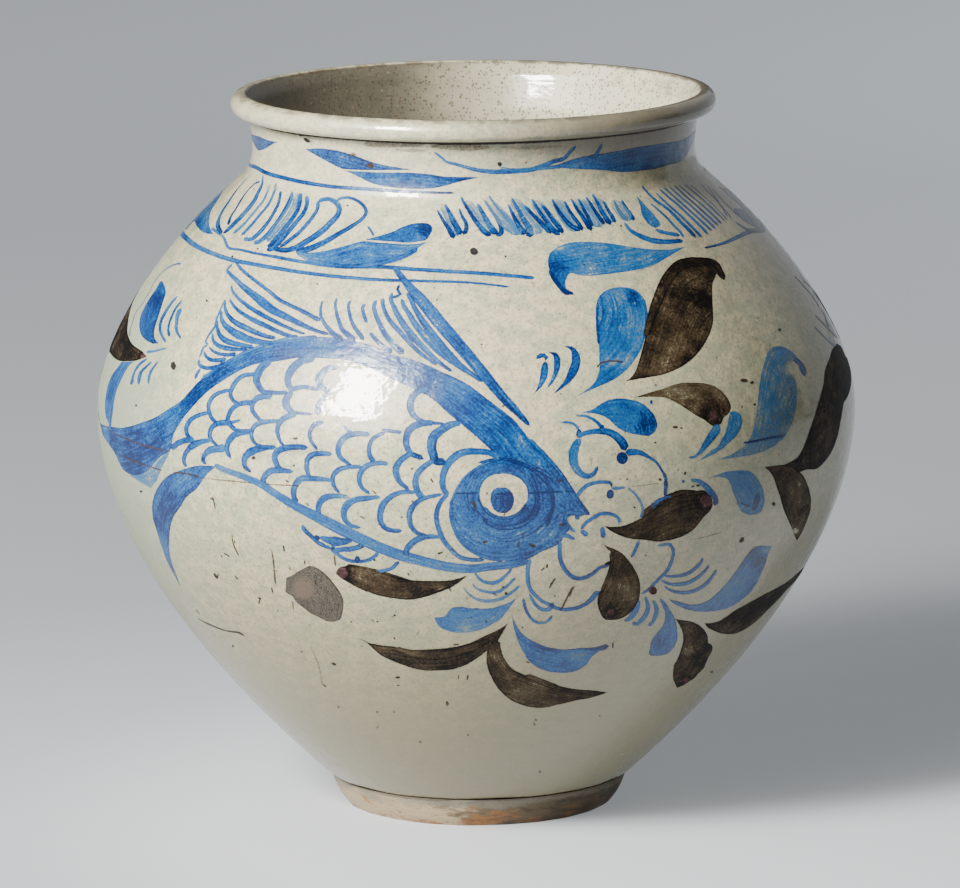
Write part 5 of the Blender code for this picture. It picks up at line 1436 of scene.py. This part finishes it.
underRollShadowAndStains = dict(paint=ironSpotAndShadow, load=0.62, fade=0.0, pool=0.0, lines=[
    ("@-180:416.3 @-150:416.5 @-120:416.2 @-90:416.4 @-60:416.2 @-30:416.5 @0:416.2 @30:416.4 @60:416.2 @90:416.5 @120:416.3 "
     "@150:416.4 @180:416.3", "2.0 2.6 2.2 3.0 2.4 2.8 2.4 3.0 2.0 2.4 2.0", 0.66),
    ("365,143.5 385,144 400,144.5 425,145", "3 5 3 1", 0.2), ("430,145.5 450,146.5 472,147 490,146.5", "1.5 4 5 2", 0.24),
    ("395,149 412,150 430,150", "1 2.5 1", 0.16), ("256,119 280,126.5 305,131.5 335,135.5 365,138.5", "2 4.5 5 5 3", 0.12),
    ("306,138 310,140 314,141", "1 3 1", 0.7), ("500,146.5 530,147 560,145", "1 3 1", 0.15),
])

# the scar where another pot was stuck to this one in the kiln

scarPatch = dict(paint=kilnScar, load=0.9, leafFade=0.0, leaves=[
    ("286,579 285.5,587 285,592 292,596 296,602 302,607 310,613 318,617 326,621 333,622",
     "286,578 291,576 297,572 303,569 309,566 314,567 321,571 328,577 334,584 339,591 342.5,598 343,605 342,613 339,620 "
     "333,622", 0.9),
], pools=[
    (303, 588, 13, -0.75), (322, 600, 9, -0.25),
])


# the front as the photograph shows it, each motif a piece of its own

motifs = {
    "neckBand": neckBand, "shoulderFan": shoulderLeft, "shoulderRings": shoulderRings, "lappets": lappets,
    "shoulderSprays": shoulderRight, "sideFlower": sideFlower, "sideFlowerLeaf": sideFlowerLeaf,
    "fishBack": fishBack, "fishFins": fishFins, "fishScales": fishScales, "fishHead": fishHead, "commas": commas,
    "flowerWash": flowerWash, "flowerLines": flowerLines, "ironLeaves": ironLeaves,
}
for name, design in motifs.items():
    motif(name, design)

# short scratches and scuffs scattered over the worn lower half
scuffs = {"tries": 60, "across": (205, 560), "down": (470, 735), "middle": 470, "halfWidth": 300, "narrowBelow": 560,
          "narrowing": 0.95, "lean": (1.4, 0.55), "length": (2.0, 7.0), "width": "0.7", "load": (0.22, 0.60)}
for _ in range(scuffs["tries"]):
    x, y = grain.uniform(*scuffs["across"]), grain.uniform(*scuffs["down"])
    if abs(x - scuffs["middle"]) < scuffs["halfWidth"] - max(y - scuffs["narrowBelow"], 0) * scuffs["narrowing"]:
        lean, length = grain.normal(*scuffs["lean"]), grain.uniform(*scuffs["length"])
        ends = f"{x:.1f},{y:.1f} {x + math.cos(lean) * length:.1f},{y + math.sin(lean) * length:.1f}"
        spots["lines"].append((ends, scuffs["width"], grain.uniform(*scuffs["load"])))
motif("spots", spots)
motif("underRollShadowAndStains", underRollShadowAndStains)
motif("kilnScar", scarPatch, slot="bare_clay")
print("front painted")

# the back can't be seen in the photograph: the same kinds of strokes, turned half round
# the fish and the flower are mirrored too, and drawn in a little

motifs["neckBand"] = dict(neckBand, pools=())
mirrored = {"mirror": True, "squeeze": 0.84}
behind = {
    "fishBack": mirrored, "fishFins": mirrored, "fishScales": mirrored, "fishHead": mirrored, "commas": mirrored,
    "flowerWash": mirrored, "flowerLines": mirrored, "ironLeaves": mirrored, "neckBand": {"squeeze": 0.9},
    "shoulderFan": {}, "lappets": {}, "shoulderSprays": {}, "sideFlower": {}, "sideFlowerLeaf": {},
}
for name, placing in behind.items():
    motif("back" + name[0].upper() + name[1:], motifs[name], turn=math.pi, **placing)
print("back painted")
